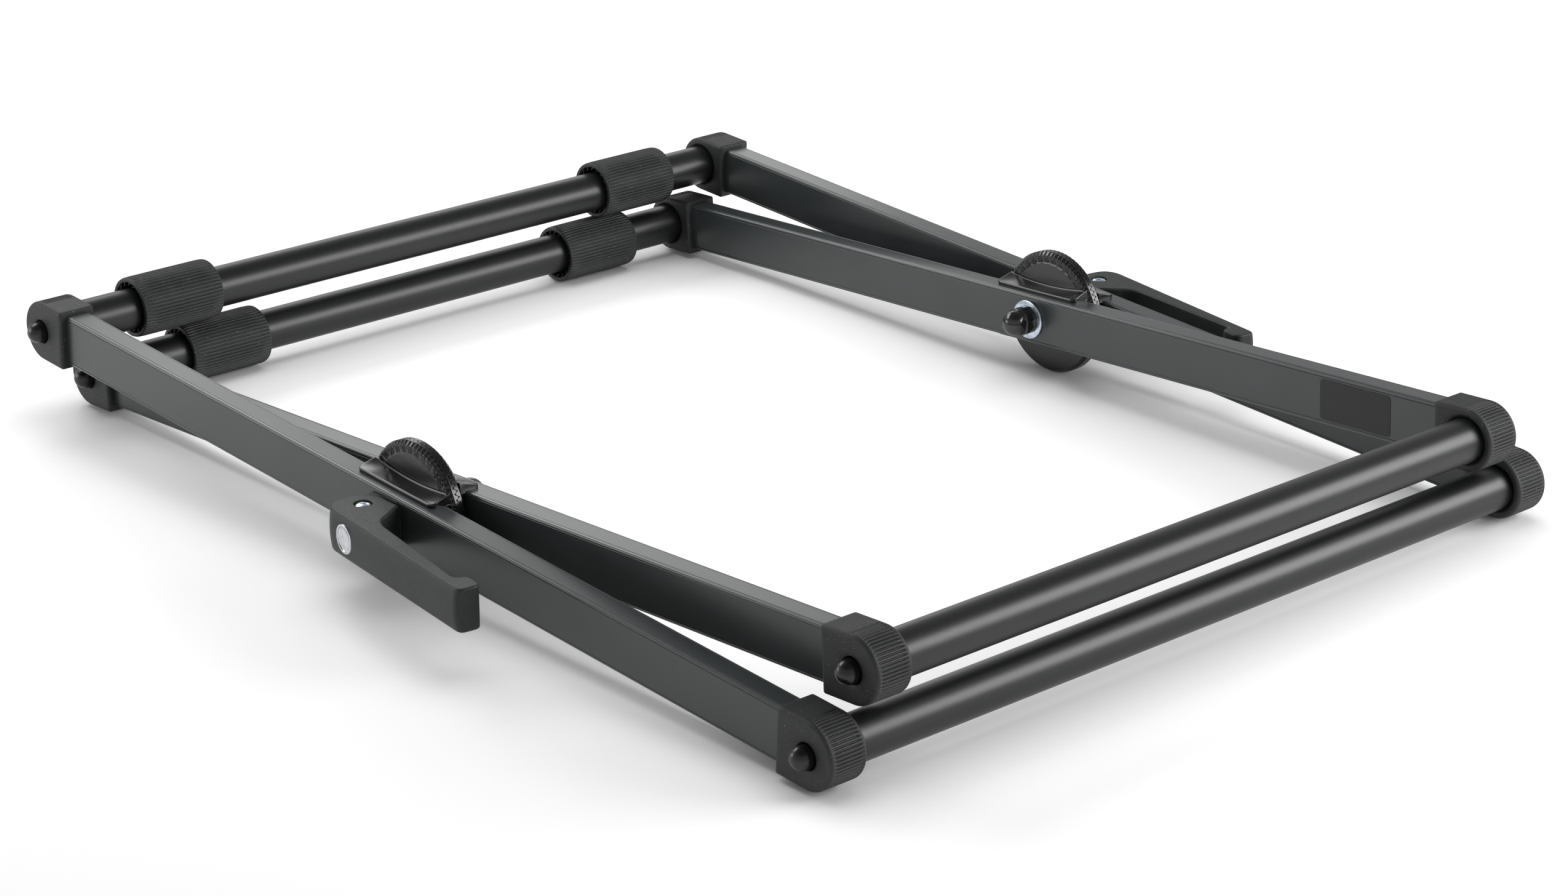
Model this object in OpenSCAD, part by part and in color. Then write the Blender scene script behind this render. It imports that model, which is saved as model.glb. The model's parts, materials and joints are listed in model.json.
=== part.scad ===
// Folding double-X drum stand, shown folded flat with its legs 3 degrees off level.
// X runs along the legs, from the sleeve end (-X) to the foot end (+X).
// Y runs along the cross tubes: near is -Y and far is +Y. Z is up, and the floor is z = 0.
// The outer frame falls towards the foot end and the inner frame rises towards it.

/* [Legs] */
// Distance along a leg from the pivot to the axis of each cross tube
leg_reach = 338; // [300:1:420]
// Height of the leg's rectangular tube
leg_height = 30; // [28:0.5:32]
// Thickness of the leg's rectangular tube
leg_thickness = 15; // [14:0.5:18]
// Wall of the leg's rectangular tube
leg_wall = 1.5; // [1.2:0.1:2]
// Radius of the beads on the leg's long corners
leg_corner = 2; // [1.5:0.1:2.5]
// Width of the fine groove beside each corner bead
bead_groove = 0.7; // [0.5:0.1:0.9]
// Distance from the middle of the stand to the middle of each outer leg
outer_leg_y = 255.2; // [230:0.1:300]
// Free width between an outer leg and its inner leg
leg_gap = 14; // [13:0.1:18]
// Angle of every leg off level when the stand is folded
rest_tilt = 3; // [2.9:0.1:4]

/* [Cross tubes] */
// Outer radius of a cross tube
tube_r = 12.5; // [12:0.1:12.8]
// Wall of a cross tube
tube_wall = 1.5; // [1.2:0.1:2]
// Length of the plug in each end of a cross tube
plug_length = 22; // [18:1:30]

/* [End caps] */
// Radius of a cap's round end, crests of the ribs
cap_r = 17.9; // [17.5:0.1:18.5]
// Distance from the tube's axis to the cap's open rim
cap_collar = 21.5; // [20:0.5:30]
// Thickness of a cap's side walls
cap_wall = 4.3; // [3.5:0.1:5]
// Radius that rounds a cap's long edges
cap_edge = 2; // [1.5:0.1:2.5]
// Number of ribs on a cap's round end, per full turn
cap_ribs = 54; // [48:1:60]
// Depth of the grooves between a cap's ribs
cap_rib_depth = 0.7; // [0.5:0.1:0.9]
// Plain margin beside the ribs at each face of a cap
cap_rib_margin = 2.4; // [2:0.1:3]
// Distance behind the tube's axis where a cap's ribs start
cap_rib_start = 3; // [1:0.5:5]
// Widening of the tube's bore at the cap's inner face
cap_flare = 1.6; // [1:0.1:2]

/* [Frame bolts] */
// Radius of a frame bolt's shank
frame_bolt_r = 3; // [2.5:0.1:4]
// Radius of a frame bolt's head
frame_head_r = 5; // [4.5:0.1:5.4]
// Height of a frame bolt's head
frame_head_h = 3.4; // [2.5:0.1:4]
// Length of a plug past the end of its frame bolt
bolt_shortfall = 2; // [1:0.5:4]
// Radius of the dome that covers a frame bolt
dome_r = 6.2; // [6:0.1:6.4]
// Height of the dome's cylindrical part above the leg
dome_stem = 6.6; // [6:0.1:8]
// Wall of the dome
dome_wall = 0.6; // [0.5:0.1:0.7]
// Radius of the recess round a dome
dome_recess_r = 7; // [6.9:0.1:8]
// Thickness of the flange round a dome's foot
dome_flange = 1.2; // [0.8:0.1:2]

/* [Sleeves] */
// Length of a sleeve
sleeve_length = 55.5; // [50:0.5:60]
// Wall of a sleeve, under its ribs
sleeve_wall = 2.2; // [1.8:0.1:2.4]
// Number of ribs round a sleeve
sleeve_ribs = 52; // [48:1:60]
// Depth of the grooves between a sleeve's ribs
sleeve_rib_depth = 0.6; // [0.4:0.1:0.8]
// Number of fins inside a sleeve
sleeve_fins = 18; // [12:1:24]
// Thickness of a fin
fin_thickness = 0.9; // [0.7:0.1:1.2]
// Distance from a sleeve's end to the end of its fins
fin_inset = 1; // [0.5:0.1:3]
// Distance that a sleeve's axis stands off its tube's axis, where the paired sleeves push apart
sleeve_rise = 0.9; // [0.8:0.1:1.1]
// Gap between the paired sleeves when the stand is folded
sleeve_gap = 0.4; // [0.4:0.1:0.6]
// Distance from the middle of the stand to the middle of an upper sleeve
upper_sleeve_y = 178; // [160:0.5:180]
// Distance from the middle of the stand to the middle of a lower sleeve
lower_sleeve_y = 145.5; // [100:0.5:150]

/* [Toothed discs] */
// Radius of a toothed disc
disc_r = 38; // [36:0.1:39]
// Width of a toothed disc, from its teeth's tips to its flat outer face
disc_width = 4.4; // [4.4:0.1:5]
// Distance that the bevel round the outer face takes off the disc's radius
bevel_drop = 1.8; // [1:0.1:2.4]
// Width of that bevel along the disc's axis
bevel_width = 2; // [1:0.1:2.1]
// Number of teeth on a disc
tooth_count = 72; // [60:4:84]
// Depth of a tooth
tooth_depth = 2; // [1.5:0.1:2.2]
// Radial length of a tooth
tooth_band = 6; // [4:0.5:8]
// Gap between the tips of opposite teeth, with the clamp released
tooth_gap = 0.3; // [0.3:0.05:0.6]
// Half length of a saddle along the leg
saddle_half = 33; // [30:0.5:36]
// Thickness of a saddle's plate on the leg
saddle_plate = 2; // [1.6:0.1:2.2]
// Distance that a saddle reaches over the leg
saddle_reach = 9.9; // [8:0.1:12]
// Radius that rounds a saddle's corners
saddle_corner = 3; // [2:0.5:4]
// Height above the leg that a saddle's ramp reaches at the disc's face, at the ridge's middle
ramp_middle = 2.2; // [2.2:0.1:3.5]
// The same height at the ridge's ends
ramp_end = 5.4; // [5:0.1:6.5]

/* [Clamps] */
// Radius of a clamp bolt
clamp_r = 5; // [4:0.1:6]
// Radius of the bolt's eye round the lever pin
eye_r = 6.5; // [6:0.1:7]
// Thickness of the bolt's eye along the lever pin
eye_thickness = 9; // [8:0.1:10]
// Length of the bolt's flats past its eye
eye_flat = 1; // [0.5:0.1:2]
// Radius of the washer under a clamp nut
washer_r = 12; // [11:0.1:13]
// Thickness of that washer
washer_thickness = 1.6; // [1.2:0.1:2.5]
// Width of a clamp nut across its flats
nut_flats = 17; // [15:0.5:18]
// Height of a clamp nut's hexagon
nut_hex = 8; // [7:0.1:9]
// Height of a clamp nut with its dome
nut_height = 18; // [17:0.5:20]
// Depth of the bevel on the corners of a nut's hexagon, inside its flats
nut_bevel = 0.3; // [0.2:0.1:0.6]
// Width of the step between a nut's flats and its dome
nut_shoulder = 0.7; // [0.5:0.1:1.2]
// Thickness of the plate that a lever's cam presses
cam_plate = 1; // [0.8:0.1:1.6]
// Half length of that plate along the leg
cam_plate_half = 13; // [12:0.5:14]
// Radius that rounds that plate's corners
cam_plate_corner = 3; // [2:0.5:4]
// Outer radius of the spring that parts two discs
spring_r = 8.4; // [8:0.1:9]
// Thickness of the spring's wall
spring_wall = 1.2; // [1:0.1:1.5]
// Depth of the spring's pocket in each disc
spring_pocket = 3; // [2:0.1:3.5]

/* [Levers] */
// Height of a lever
lever_height = 24; // [22:0.5:26]
// Distance from the lever pin to the middle of the arm's outer face
lever_out = 18.8; // [18:0.1:20]
// How far the arm's outer face drops from its middle to its upper and lower edges
lever_crown = 1.6; // [0.8:0.1:2]
// Distance from the lever pin to the lever's tip
lever_tip = 130; // [115:1:135]
// Thickness of a lever's arm beside its head
arm_root = 12.5; // [11:0.1:13.5]
// Thickness of a lever's arm beside its tip
arm_neck = 8.3; // [7:0.1:9.5]
// Thickness of a lever's tip, with its lip for the finger
tip_thickness = 15; // [13:0.1:15]
// Length of that lip along the arm
tip_lip = 15; // [12:0.5:18]
// Length of the bend that rounds each corner of a lever's tip
tip_round = 5; // [3:0.5:6]
// Distance from the lever pin to where the hollow behind the head starts
hollow_start = 22; // [20:0.5:24]
// Distance from the lever pin to where that hollow runs into the arm
hollow_end = 38; // [35:0.5:50]
// Radius of the cam at the back of a lever's head
cam_r = 12.9; // [12.5:0.1:13.5]
// Distance from the lever pin to the middle of the cam's lobe, the same along and across the arm
lobe_offset = 12; // [11.5:0.1:12.5]
// Radius of the cam's lobe
lobe_r = 2; // [1.5:0.1:2.5]
// Angle of the near lever, which stands released a little off the leg
near_lever_swing = 7; // [5:0.5:10]
// Angle of the far lever towards the leg, where it is locked
far_lever_lock = 9; // [7:0.5:10]
// Radius of a lever pin
pin_r = 3; // [2.5:0.1:3.5]
// Radius of a lever pin's heads
pin_head_r = 4.4; // [4:0.1:5]
// Height of a lever pin's heads
pin_head_h = 2; // [1.5:0.1:2.5]
// Length of the cross recess in a lever pin's upper head
cross_length = 5.3; // [4:0.1:6]
// Width of that recess
cross_width = 1.1; // [0.8:0.1:1.4]
// Depth of that recess
cross_depth = 1; // [0.6:0.1:1.4]
// Radius of the round badge place
badge_r = 8.2; // [7.5:0.1:8.5]
// Distance from the lever pin to the middle of the badge place
badge_x = 12; // [11:0.5:14]
// Thickness of the badge
badge_thickness = 1.4; // [1:0.1:1.8]
// Width of the badge's raised rim
badge_rim = 1.2; // [0.8:0.1:1.6]
// Width of the ring groove inside that rim
badge_groove = 0.6; // [0.4:0.1:1]
// Depth of that groove
badge_groove_depth = 0.4; // [0.2:0.1:0.8]

/* [Label] */
// Length of the blank label
label_length = 51; // [40:1:60]
// Height of the blank label
label_height = 24; // [20:0.5:25]
// Thickness of the blank label
label_thickness = 0.2; // [0.2:0.05:0.4]
// Radius that rounds the label's corners
label_corner = 2.5; // [1:0.1:4]
// Distance along the leg from the foot tube's axis back to the label's middle
label_x = 80.5; // [60:0.5:140]

/* [Clearances] */
// Clearance of pieces that are fixed to each other
fixed_gap = 0.05; // [0.02:0.01:0.1]
// Radial clearance of a bore that turns or slides on a shaft
running_gap = 0.05; // [0.03:0.01:0.1]
// Gap between curved faces that move past each other
swing_gap = 0.3; // [0.3:0.05:0.6]
// Clearance round a clamp bolt in the outer leg and its disc
bolt_gap = 0.1; // [0.05:0.05:0.2]
// Clearance beside a clamp bolt in its lever's slot, for the lever's swing
slot_gap = 3.6; // [3:0.1:4]

/* [Hidden] */
$fn = 64;

// How far a cut runs past the faces that it opens, and the least overlap of two joined shapes
overrun = 1;
tiny = 0.01;

// Middle of an inner leg, and the four faces of a pair of legs, as distances from the stand's middle
inner_leg_y = outer_leg_y - leg_thickness - leg_gap;
outer_leg_outside = outer_leg_y + leg_thickness / 2;
outer_leg_inside = outer_leg_y - leg_thickness / 2;
inner_leg_outside = inner_leg_y + leg_thickness / 2;
inner_leg_inside = inner_leg_y - leg_thickness / 2;

// Height of the pivots above the floor, set by whichever is lowest, the discs or the caps
pivot_z = max(disc_r, leg_reach * sin(rest_tilt) + cap_r);

cap_width = leg_thickness + 2 * cap_wall;
leg_end_r = leg_height / 2;
dome_flange_r = (dome_r + dome_recess_r) / 2;

// The sleeve's radius leaves the named gap between the paired sleeves
sleeve_r = leg_reach * sin(rest_tilt) + sleeve_rise - sleeve_gap / 2;
sleeve_bore_r = sleeve_r - sleeve_rib_depth - sleeve_wall;
fin_tip_r = tube_r + sleeve_rise + running_gap;

// Each disc and the web behind it fill their half of the gap between the legs
half_gap = (leg_gap - tooth_gap) / 2;
web_width = half_gap - disc_width;
saddle_root = (disc_width - tooth_depth) / 2;

// How far the teeth are turned, in pitches, so that tips face valleys in the folded stand
inner_turn = 0.25;
outer_turn = inner_turn + 0.5 - 2 * rest_tilt * tooth_count / 360;

pivot_y = (outer_leg_inside + inner_leg_outside) / 2;
spring_length = 2 * spring_pocket + tooth_gap - 2 * running_gap;

// The near pin stands as far out as its cam needs, and the far pin as far as its locked lobe needs
near_pin_y = outer_leg_outside + cam_plate + cam_r + swing_gap;
lobe_support = lobe_offset * (sin(far_lever_lock) + cos(far_lever_lock)) + lobe_r;
far_pin_y = outer_leg_outside + cam_plate + lobe_support + swing_gap;

// Radius of the crowned outer face across a lever
crown_r = (lever_height * lever_height / 4 + lever_crown * lever_crown) / (2 * lever_crown);

// A lever's slot clears both the bolt's shank and its eye
slot_half = max(eye_thickness / 2, clamp_r) + swing_gap;
slot_side = clamp_r + slot_gap;
nut_dome_r = nut_flats / 2 - nut_shoulder;

// How far each lever reaches out from its pin, which moves the stand so that its box is centred
near_lever_reach = max([for (p = lever_outline()) p.x * sin(near_lever_swing) - p.y * cos(near_lever_swing)]);
far_lever_reach = max([for (p = lever_outline()) -p.x * sin(far_lever_lock) - p.y * cos(far_lever_lock)]);
stand_y = (near_pin_y + near_lever_reach - far_pin_y - far_lever_reach) / 2;

steel_grey = [0.30, 0.31, 0.31];
tube_black = [0.13, 0.13, 0.14];
rubber_grey = [0.22, 0.23, 0.22];
disc_black = [0.12, 0.12, 0.13];
lever_grey = [0.26, 0.28, 0.27];
zinc = [0.72, 0.76, 0.80];
dome_black = [0.08, 0.08, 0.08];

// Points of an arc from one angle to another
function arc(middle, r, from, to, steps) =
    [for (i = [0 : steps]) let (a = from + (to - from) * i / steps) middle + r * [cos(a), sin(a)]];

// Points of a smooth bend from one point to another, drawn towards a third
function bend(from, towards, to, steps) =
    [for (i = [0 : steps]) let (t = i / steps)
        (1 - t) * (1 - t) * from + 2 * t * (1 - t) * towards + t * t * to];

// Outline of a round piece with straight ribs: crests at r, valleys below them by depth
function ribbed(r, depth, count) =
    [for (i = [0 : 2 * count - 1]) let (a = 180 * i / count)
        (r - depth * (i % 2)) * [cos(a), sin(a)]];

// Moves a part from the pivot axis's own position to the folded stand, over the floor's origin
module at_pivot() translate([0, stand_y, pivot_z]) children();

// Turns a part from a leg's own level position to the folded position of that frame.
// The outer frame falls towards +X and the inner frame rises.
module outer_frame() at_pivot() rotate([0, rest_tilt, 0]) children();
module inner_frame() at_pivot() rotate([0, -rest_tilt, 0]) children();

// Leaves a part on the near side, or mirrors it to the far side
module side(name) if (name == "near") children(); else mirror([0, 1, 0]) children();

module rounded_square(size_x, size_y, r) {
    square([size_x - 2 * r, size_y], center = true);
    square([size_x, size_y - 2 * r], center = true);
    for (x = [-1, 1], y = [-1, 1])
        translate([x * (size_x / 2 - r), y * (size_y / 2 - r)]) circle(r);
}

// A cylinder along Y between two places
module along_y(r, from, to)
    translate([0, from, 0]) rotate([-90, 0, 0]) cylinder(r = r, h = to - from);

// Section of a leg across X, with a groove on both sides of every corner bead
module leg_section() {
    groove_side = bead_groove / sqrt(2);
    difference() {
        rounded_square(leg_thickness, leg_height, leg_corner);
        rounded_square(leg_thickness - 2 * leg_wall, leg_height - 2 * leg_wall, leg_corner / 2);
        for (y = [-1, 1], z = [-1, 1]) {
            translate([y * leg_thickness / 2, z * (leg_height / 2 - leg_corner - bead_groove)])
                rotate(45) square(groove_side, center = true);
            translate([y * (leg_thickness / 2 - leg_corner - bead_groove), z * leg_height / 2])
                rotate(45) square(groove_side, center = true);
        }
    }
}

// A leg along X with round ends, bored for the clamp bolt and for a frame bolt at each end.
// Its middle plane is y = 0.
module leg(clamp_clearance) {
    difference() {
        intersection() {
            rotate([90, 0, 90])
                linear_extrude(2 * (leg_reach + leg_end_r), center = true) leg_section();
            union() {
                cube([2 * leg_reach, 2 * leg_thickness, 2 * leg_height], center = true);
                for (x = [-1, 1]) translate([x * leg_reach, 0, 0])
                    along_y(leg_end_r, -leg_thickness, leg_thickness);
            }
        }
        along_y(clamp_r + clamp_clearance, -leg_thickness, leg_thickness);
        for (x = [-1, 1]) translate([x * leg_reach, 0, 0])
            along_y(frame_bolt_r + fixed_gap, -leg_thickness, leg_thickness);
    }
}

// A cross tube along Y between two legs' inner faces
module cross_tube(half_length) {
    difference() {
        along_y(tube_r, -half_length, half_length);
        along_y(tube_r - tube_wall, -half_length - overrun, half_length + overrun);
    }
}

// Plug in the near end of a cross tube, with the frame bolt's hole
module tube_plug(half_length) {
    difference() {
        along_y(tube_r - tube_wall - fixed_gap, -half_length, -half_length + plug_length);
        along_y(frame_bolt_r + fixed_gap, -half_length - overrun, -half_length + plug_length + overrun);
    }
}

// Bolt from the near leg's outer face into the plug
module frame_bolt(leg_outside, half_length) {
    along_y(frame_bolt_r, -leg_outside - tiny, -half_length + plug_length - bolt_shortfall);
    along_y(frame_head_r, -leg_outside - frame_head_h, -leg_outside);
}

// Hollow dome over a frame bolt's head, on the near leg's outer face
module bolt_dome(leg_outside) {
    inner_r = dome_r - dome_wall;
    translate([0, -leg_outside, 0]) rotate([90, 0, 0]) rotate_extrude() difference() {
        union() {
            square([dome_r, dome_stem]);
            square([dome_flange_r, dome_flange]);
            intersection() {
                translate([0, dome_stem]) circle(dome_r);
                square([dome_r, dome_stem + dome_r]);
            }
        }
        translate([-overrun, -overrun]) square([overrun + inner_r, overrun + dome_stem]);
        intersection() {
            translate([0, dome_stem]) circle(inner_r);
            translate([-overrun, 0]) square([overrun + inner_r, dome_stem + inner_r]);
        }
        translate([-dome_r, -overrun]) square([dome_r, 2 * (dome_stem + dome_r)]);
    }
}

// Solid outline of a cap: a collar with rounded long edges and a round end
module cap_body() {
    intersection() {
        translate([-cap_collar, -cap_width / 2, -cap_r]) cube([cap_collar, cap_width, 2 * cap_r]);
        rotate([90, 0, 90]) linear_extrude(2 * cap_collar, center = true)
            rounded_square(cap_width, 2 * cap_r, cap_edge);
    }
    rotate([90, 0, 0]) rotate_extrude() intersection() {
        rounded_square(2 * cap_r, cap_width, cap_edge);
        translate([0, -cap_width]) square([cap_r, 2 * cap_width]);
    }
}

// Grooves between the ribs of a cap's round end
module cap_grooves() {
    rib_width = cap_width - 2 * cap_rib_margin;
    intersection() {
        rotate([90, 0, 0]) linear_extrude(rib_width, center = true) difference() {
            circle(cap_r + overrun);
            polygon(ribbed(cap_r + tiny, cap_rib_depth + tiny, cap_ribs));
        }
        translate([-cap_rib_start, -cap_width, -2 * cap_r])
            cube([3 * cap_r, 2 * cap_width, 4 * cap_r]);
    }
}

// End cap whose tube axis is at x = 0, y = 0 is the leg's middle, its inner face towards +Y
// and its collar towards -X
module end_cap() {
    socket_half = leg_thickness / 2 + fixed_gap;
    socket_r = leg_end_r + fixed_gap;
    difference() {
        cap_body();
        cap_grooves();
        translate([-2 * cap_collar, -socket_half, -socket_r])
            cube([2 * cap_collar, 2 * socket_half, 2 * socket_r]);
        along_y(socket_r, -socket_half, socket_half);
        along_y(dome_recess_r, -cap_width, 0);
        along_y(tube_r + fixed_gap, 0, cap_width);
        translate([0, cap_width / 2 - cap_flare, 0]) rotate([-90, 0, 0])
            cylinder(r1 = tube_r + fixed_gap, r2 = tube_r + cap_flare + tiny, h = cap_flare + tiny);
    }
}

// Moves a near cap's parts to one end of a leg: the foot end, or the sleeve end turned about
module leg_end(at) {
    if (at == "foot") translate([leg_reach, 0, 0]) children();
    else mirror([1, 0, 0]) translate([leg_reach, 0, 0]) children();
}

module placed_cap(leg_y, at) color(rubber_grey)
    leg_end(at) translate([0, -leg_y, 0]) end_cap();

// Ribbed sleeve with inner fins, along Y, its axis raised off the tube's axis
module sleeve(middle_y, rise) {
    translate([0, middle_y, rise]) rotate([90, 0, 0]) {
        linear_extrude(sleeve_length, center = true) difference() {
            polygon(ribbed(sleeve_r, sleeve_rib_depth, sleeve_ribs));
            circle(sleeve_bore_r);
        }
        for (i = [0 : sleeve_fins - 1]) rotate(360 * (i + 0.5) / sleeve_fins)
            translate([fin_tip_r, -fin_thickness / 2, -sleeve_length / 2 + fin_inset])
            cube([sleeve_bore_r + sleeve_wall / 2 - fin_tip_r, fin_thickness, sleeve_length - 2 * fin_inset]);
    }
}

// One V groove between two teeth, lying along a radius. Its mouth is at z = 0.
module tooth_groove() {
    half_pitch = PI * disc_r / tooth_count;
    half_mouth = half_pitch * (tooth_depth + overrun) / tooth_depth;
    translate([disc_r - tooth_band, 0, 0]) rotate([90, 0, 90])
        linear_extrude(tooth_band + overrun)
        polygon([[0, -tooth_depth], [half_mouth, overrun], [-half_mouth, overrun]]);
}

// Toothed disc with its teeth towards +Z: its tips are at z = 0 and its flat face at
// z = -disc_width. A bevel runs round the flat face.
module toothed_disc(turn) {
    difference() {
        translate([0, 0, -disc_width]) union() {
            cylinder(r1 = disc_r - bevel_drop, r2 = disc_r, h = bevel_width);
            translate([0, 0, bevel_width]) cylinder(r = disc_r, h = disc_width - bevel_width);
        }
        translate([0, 0, -tooth_depth - tiny])
            cylinder(r = disc_r - tooth_band + tiny, h = tooth_depth + overrun);
        for (i = [0 : tooth_count - 1]) rotate(360 * (i + turn) / tooth_count) tooth_groove();
    }
    translate([0, 0, -disc_width]) cylinder(r = disc_r - tooth_band, h = disc_width);
}

// Saddle over the leg's top: a plate whose ramp rises over the web to a ridge along the disc's
// face, and the ridge dips in the middle. The leg's face that carries the web is y = 0, the leg
// lies towards -Y, and its top is z = leg_height / 2.
module saddle() {
    leg_top = leg_height / 2;
    run = saddle_reach + web_width;
    rise = ramp_end - ramp_middle;
    ridge_r = (saddle_half * saddle_half + rise * rise) / (2 * rise);
    intersection() {
        rotate([90, 0, 90]) linear_extrude(2 * saddle_half, center = true) polygon([
            [-saddle_reach, leg_top], [-saddle_reach, leg_top + saddle_plate],
            [web_width, leg_top + ramp_end], [web_width + saddle_root, leg_top + ramp_end],
            [web_width + saddle_root, leg_top]
        ]);
        translate([0, 0, leg_top - overrun]) linear_extrude(ramp_end + 2 * overrun) union() {
            translate([0, -saddle_reach / 2])
                rounded_square(2 * saddle_half, saddle_reach, saddle_corner);
            translate([-saddle_half, saddle_corner - saddle_reach])
                square([2 * saddle_half, run - saddle_corner + saddle_root]);
        }
        difference() {
            translate([-saddle_half, -2 * run, leg_top])
                cube([2 * saddle_half, 4 * run, 2 * ramp_end]);
            translate([0, web_width, leg_top + ramp_middle + ridge_r])
                rotate([atan((ramp_middle - saddle_plate) / run), 0, 0])
                along_y(ridge_r, -3 * run, 3 * run);
        }
    }
}

// A disc, its web and its two saddles, in the leg's own level position: the leg's face that
// carries the web is y = 0 and the disc stands towards +Y
module saddled_disc(turn, bore) {
    difference() {
        union() {
            translate([0, half_gap, 0]) rotate([-90, 0, 0]) toothed_disc(turn);
            translate([-saddle_half, 0, -leg_height / 2])
                cube([2 * saddle_half, web_width + saddle_root, leg_height]);
            saddle();
            mirror([0, 0, 1]) saddle();
        }
        along_y(bore, -overrun, half_gap + overrun);
        along_y(spring_r + swing_gap, half_gap - spring_pocket, half_gap + overrun);
    }
}

// Clamp bolt from the lever pin through both legs, its eye on the pin
module clamp_bolt(pin_y) {
    difference() {
        union() {
            along_y(clamp_r, -pin_y, -inner_leg_inside + washer_thickness + nut_hex);
            translate([0, -pin_y, 0]) cylinder(r = eye_r, h = eye_thickness, center = true);
        }
        translate([0, -pin_y, 0]) cylinder(r = pin_r + running_gap, h = 4 * clamp_r, center = true);
        for (z = [-1, 1]) translate([0, -pin_y, z * (eye_thickness / 2 + clamp_r)])
            cube([4 * eye_r, 2 * (eye_r + eye_flat), 2 * clamp_r], center = true);
    }
}

module clamp_nut() {
    seat = -inner_leg_inside + washer_thickness;
    dome_h = nut_height - nut_dome_r;
    bevel_r = nut_flats / 2 - nut_bevel;
    translate([0, seat, 0]) rotate([-90, 0, 0]) difference() {
        union() {
            intersection() {
                cylinder(r = nut_flats / sqrt(3), h = nut_hex, $fn = 6);
                cylinder(r1 = bevel_r + nut_hex * tan(60), r2 = bevel_r, h = nut_hex);
            }
            rotate_extrude() intersection() {
                union() {
                    square([nut_dome_r, dome_h]);
                    translate([0, dome_h]) circle(nut_dome_r);
                }
                square([nut_dome_r, nut_height]);
            }
        }
        translate([0, 0, -overrun]) cylinder(r = clamp_r + fixed_gap, h = nut_hex + 2 * overrun);
    }
}

module washer() {
    difference() {
        along_y(washer_r, -inner_leg_inside, -inner_leg_inside + washer_thickness);
        along_y(clamp_r + fixed_gap, -inner_leg_outside, 0);
    }
}

module release_spring() {
    difference() {
        along_y(spring_r, -pivot_y - spring_length / 2, -pivot_y + spring_length / 2);
        along_y(spring_r - spring_wall, -outer_leg_y, 0);
    }
}

module cam_plate() {
    difference() {
        translate([0, -outer_leg_outside, 0]) rotate([90, 0, 0]) linear_extrude(cam_plate)
            rounded_square(2 * cam_plate_half, lever_height, cam_plate_corner);
        along_y(clamp_r + bolt_gap, -2 * outer_leg_y, 0);
    }
}

// Outline of a lever seen from above: the pin is at the origin, the arm runs along +X,
// and its outer face is y = -lever_out
function lever_outline() = let (
    out = -lever_out,
    tip = lever_tip,
    lip_start = tip - tip_lip,
    lip = out + tip_thickness,
    root = out + arm_root,
    neck = out + arm_neck,
    hollow_corner = [hollow_start + (hollow_end - hollow_start) / 4, root]
) concat(
    arc([0, 0], cam_r, 180, 90, 16),
    arc([lobe_offset, lobe_offset], lobe_r, 90, 0, 8),
    bend([hollow_start, (lobe_offset + root) / 3], hollow_corner, [hollow_end, root], 10),
    bend([lip_start - tip_round, neck], [lip_start, neck], [lip_start, (neck + lip) / 2], 6),
    bend([lip_start, (neck + lip) / 2], [lip_start, lip], [lip_start + tip_round, lip], 6),
    bend([tip - tip_round, lip], [tip, lip], [tip, lip - tip_round], 6),
    bend([tip, out + tip_round], [tip, out], [tip - tip_round, out], 6),
    arc([0, out + cam_r], cam_r, 270, 180, 14)
);

// Lever with its slot for the bolt's eye, its pin bore and its badge place
module lever() {
    difference() {
        intersection() {
            linear_extrude(lever_height, center = true) polygon(lever_outline());
            translate([lever_tip / 2, crown_r - lever_out, 0]) rotate([0, 90, 0])
                cylinder(r = crown_r, h = 2 * lever_tip, center = true);
        }
        translate([-2 * cam_r, -slot_side, -slot_half])
            cube([2 * cam_r + slot_side, slot_side + 3 * cam_r, 2 * slot_half]);
        cylinder(r = pin_r + fixed_gap, h = 2 * lever_height, center = true);
        for (z = [-1, 1]) translate([0, 0, z * lever_height / 2])
            cylinder(r = pin_head_r + fixed_gap, h = 2 * pin_head_h, center = true);
        translate([badge_x, 0, 0])
            along_y(badge_r + fixed_gap, -2 * lever_out, -lever_out + badge_thickness);
    }
}

// Lever pin with round heads and a cross recess in the upper one
module lever_pin() {
    head_low = lever_height / 2 - pin_head_h;
    difference() {
        union() {
            cylinder(r = pin_r, h = 2 * head_low + 1, center = true);
            for (z = [-1, 1]) translate([0, 0, z * (head_low + pin_head_h / 2)])
                cylinder(r = pin_head_r, h = pin_head_h, center = true);
        }
        for (turn = [20, 110]) rotate(turn) translate([0, 0, lever_height / 2])
            cube([cross_length, cross_width, 2 * cross_depth], center = true);
    }
}

// Round badge, bare, seated in its place level with the middle of the lever's outer face
module badge() {
    groove_r = badge_r - badge_rim;
    translate([badge_x, badge_thickness - lever_out, 0]) rotate([90, 0, 0]) difference() {
        cylinder(r = badge_r, h = badge_thickness);
        translate([0, 0, badge_thickness - badge_groove_depth]) difference() {
            cylinder(r = groove_r, h = overrun);
            translate([0, 0, -overrun]) cylinder(r = groove_r - badge_groove, h = 3 * overrun);
        }
    }
}

// Place a lever's parts, which turn with it, on the near side: a positive swing moves the tip out
module lever_place(pin_y, swing) translate([0, -pin_y, 0]) rotate(-swing) children();

module near_outer_leg() color(steel_grey)
    outer_frame() translate([0, -outer_leg_y, 0]) leg(bolt_gap);
module far_outer_leg() color(steel_grey)
    outer_frame() translate([0, outer_leg_y, 0]) leg(bolt_gap);
module near_inner_leg() color(steel_grey)
    inner_frame() translate([0, -inner_leg_y, 0]) leg(running_gap);
module far_inner_leg() color(steel_grey)
    inner_frame() translate([0, inner_leg_y, 0]) leg(running_gap);

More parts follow.
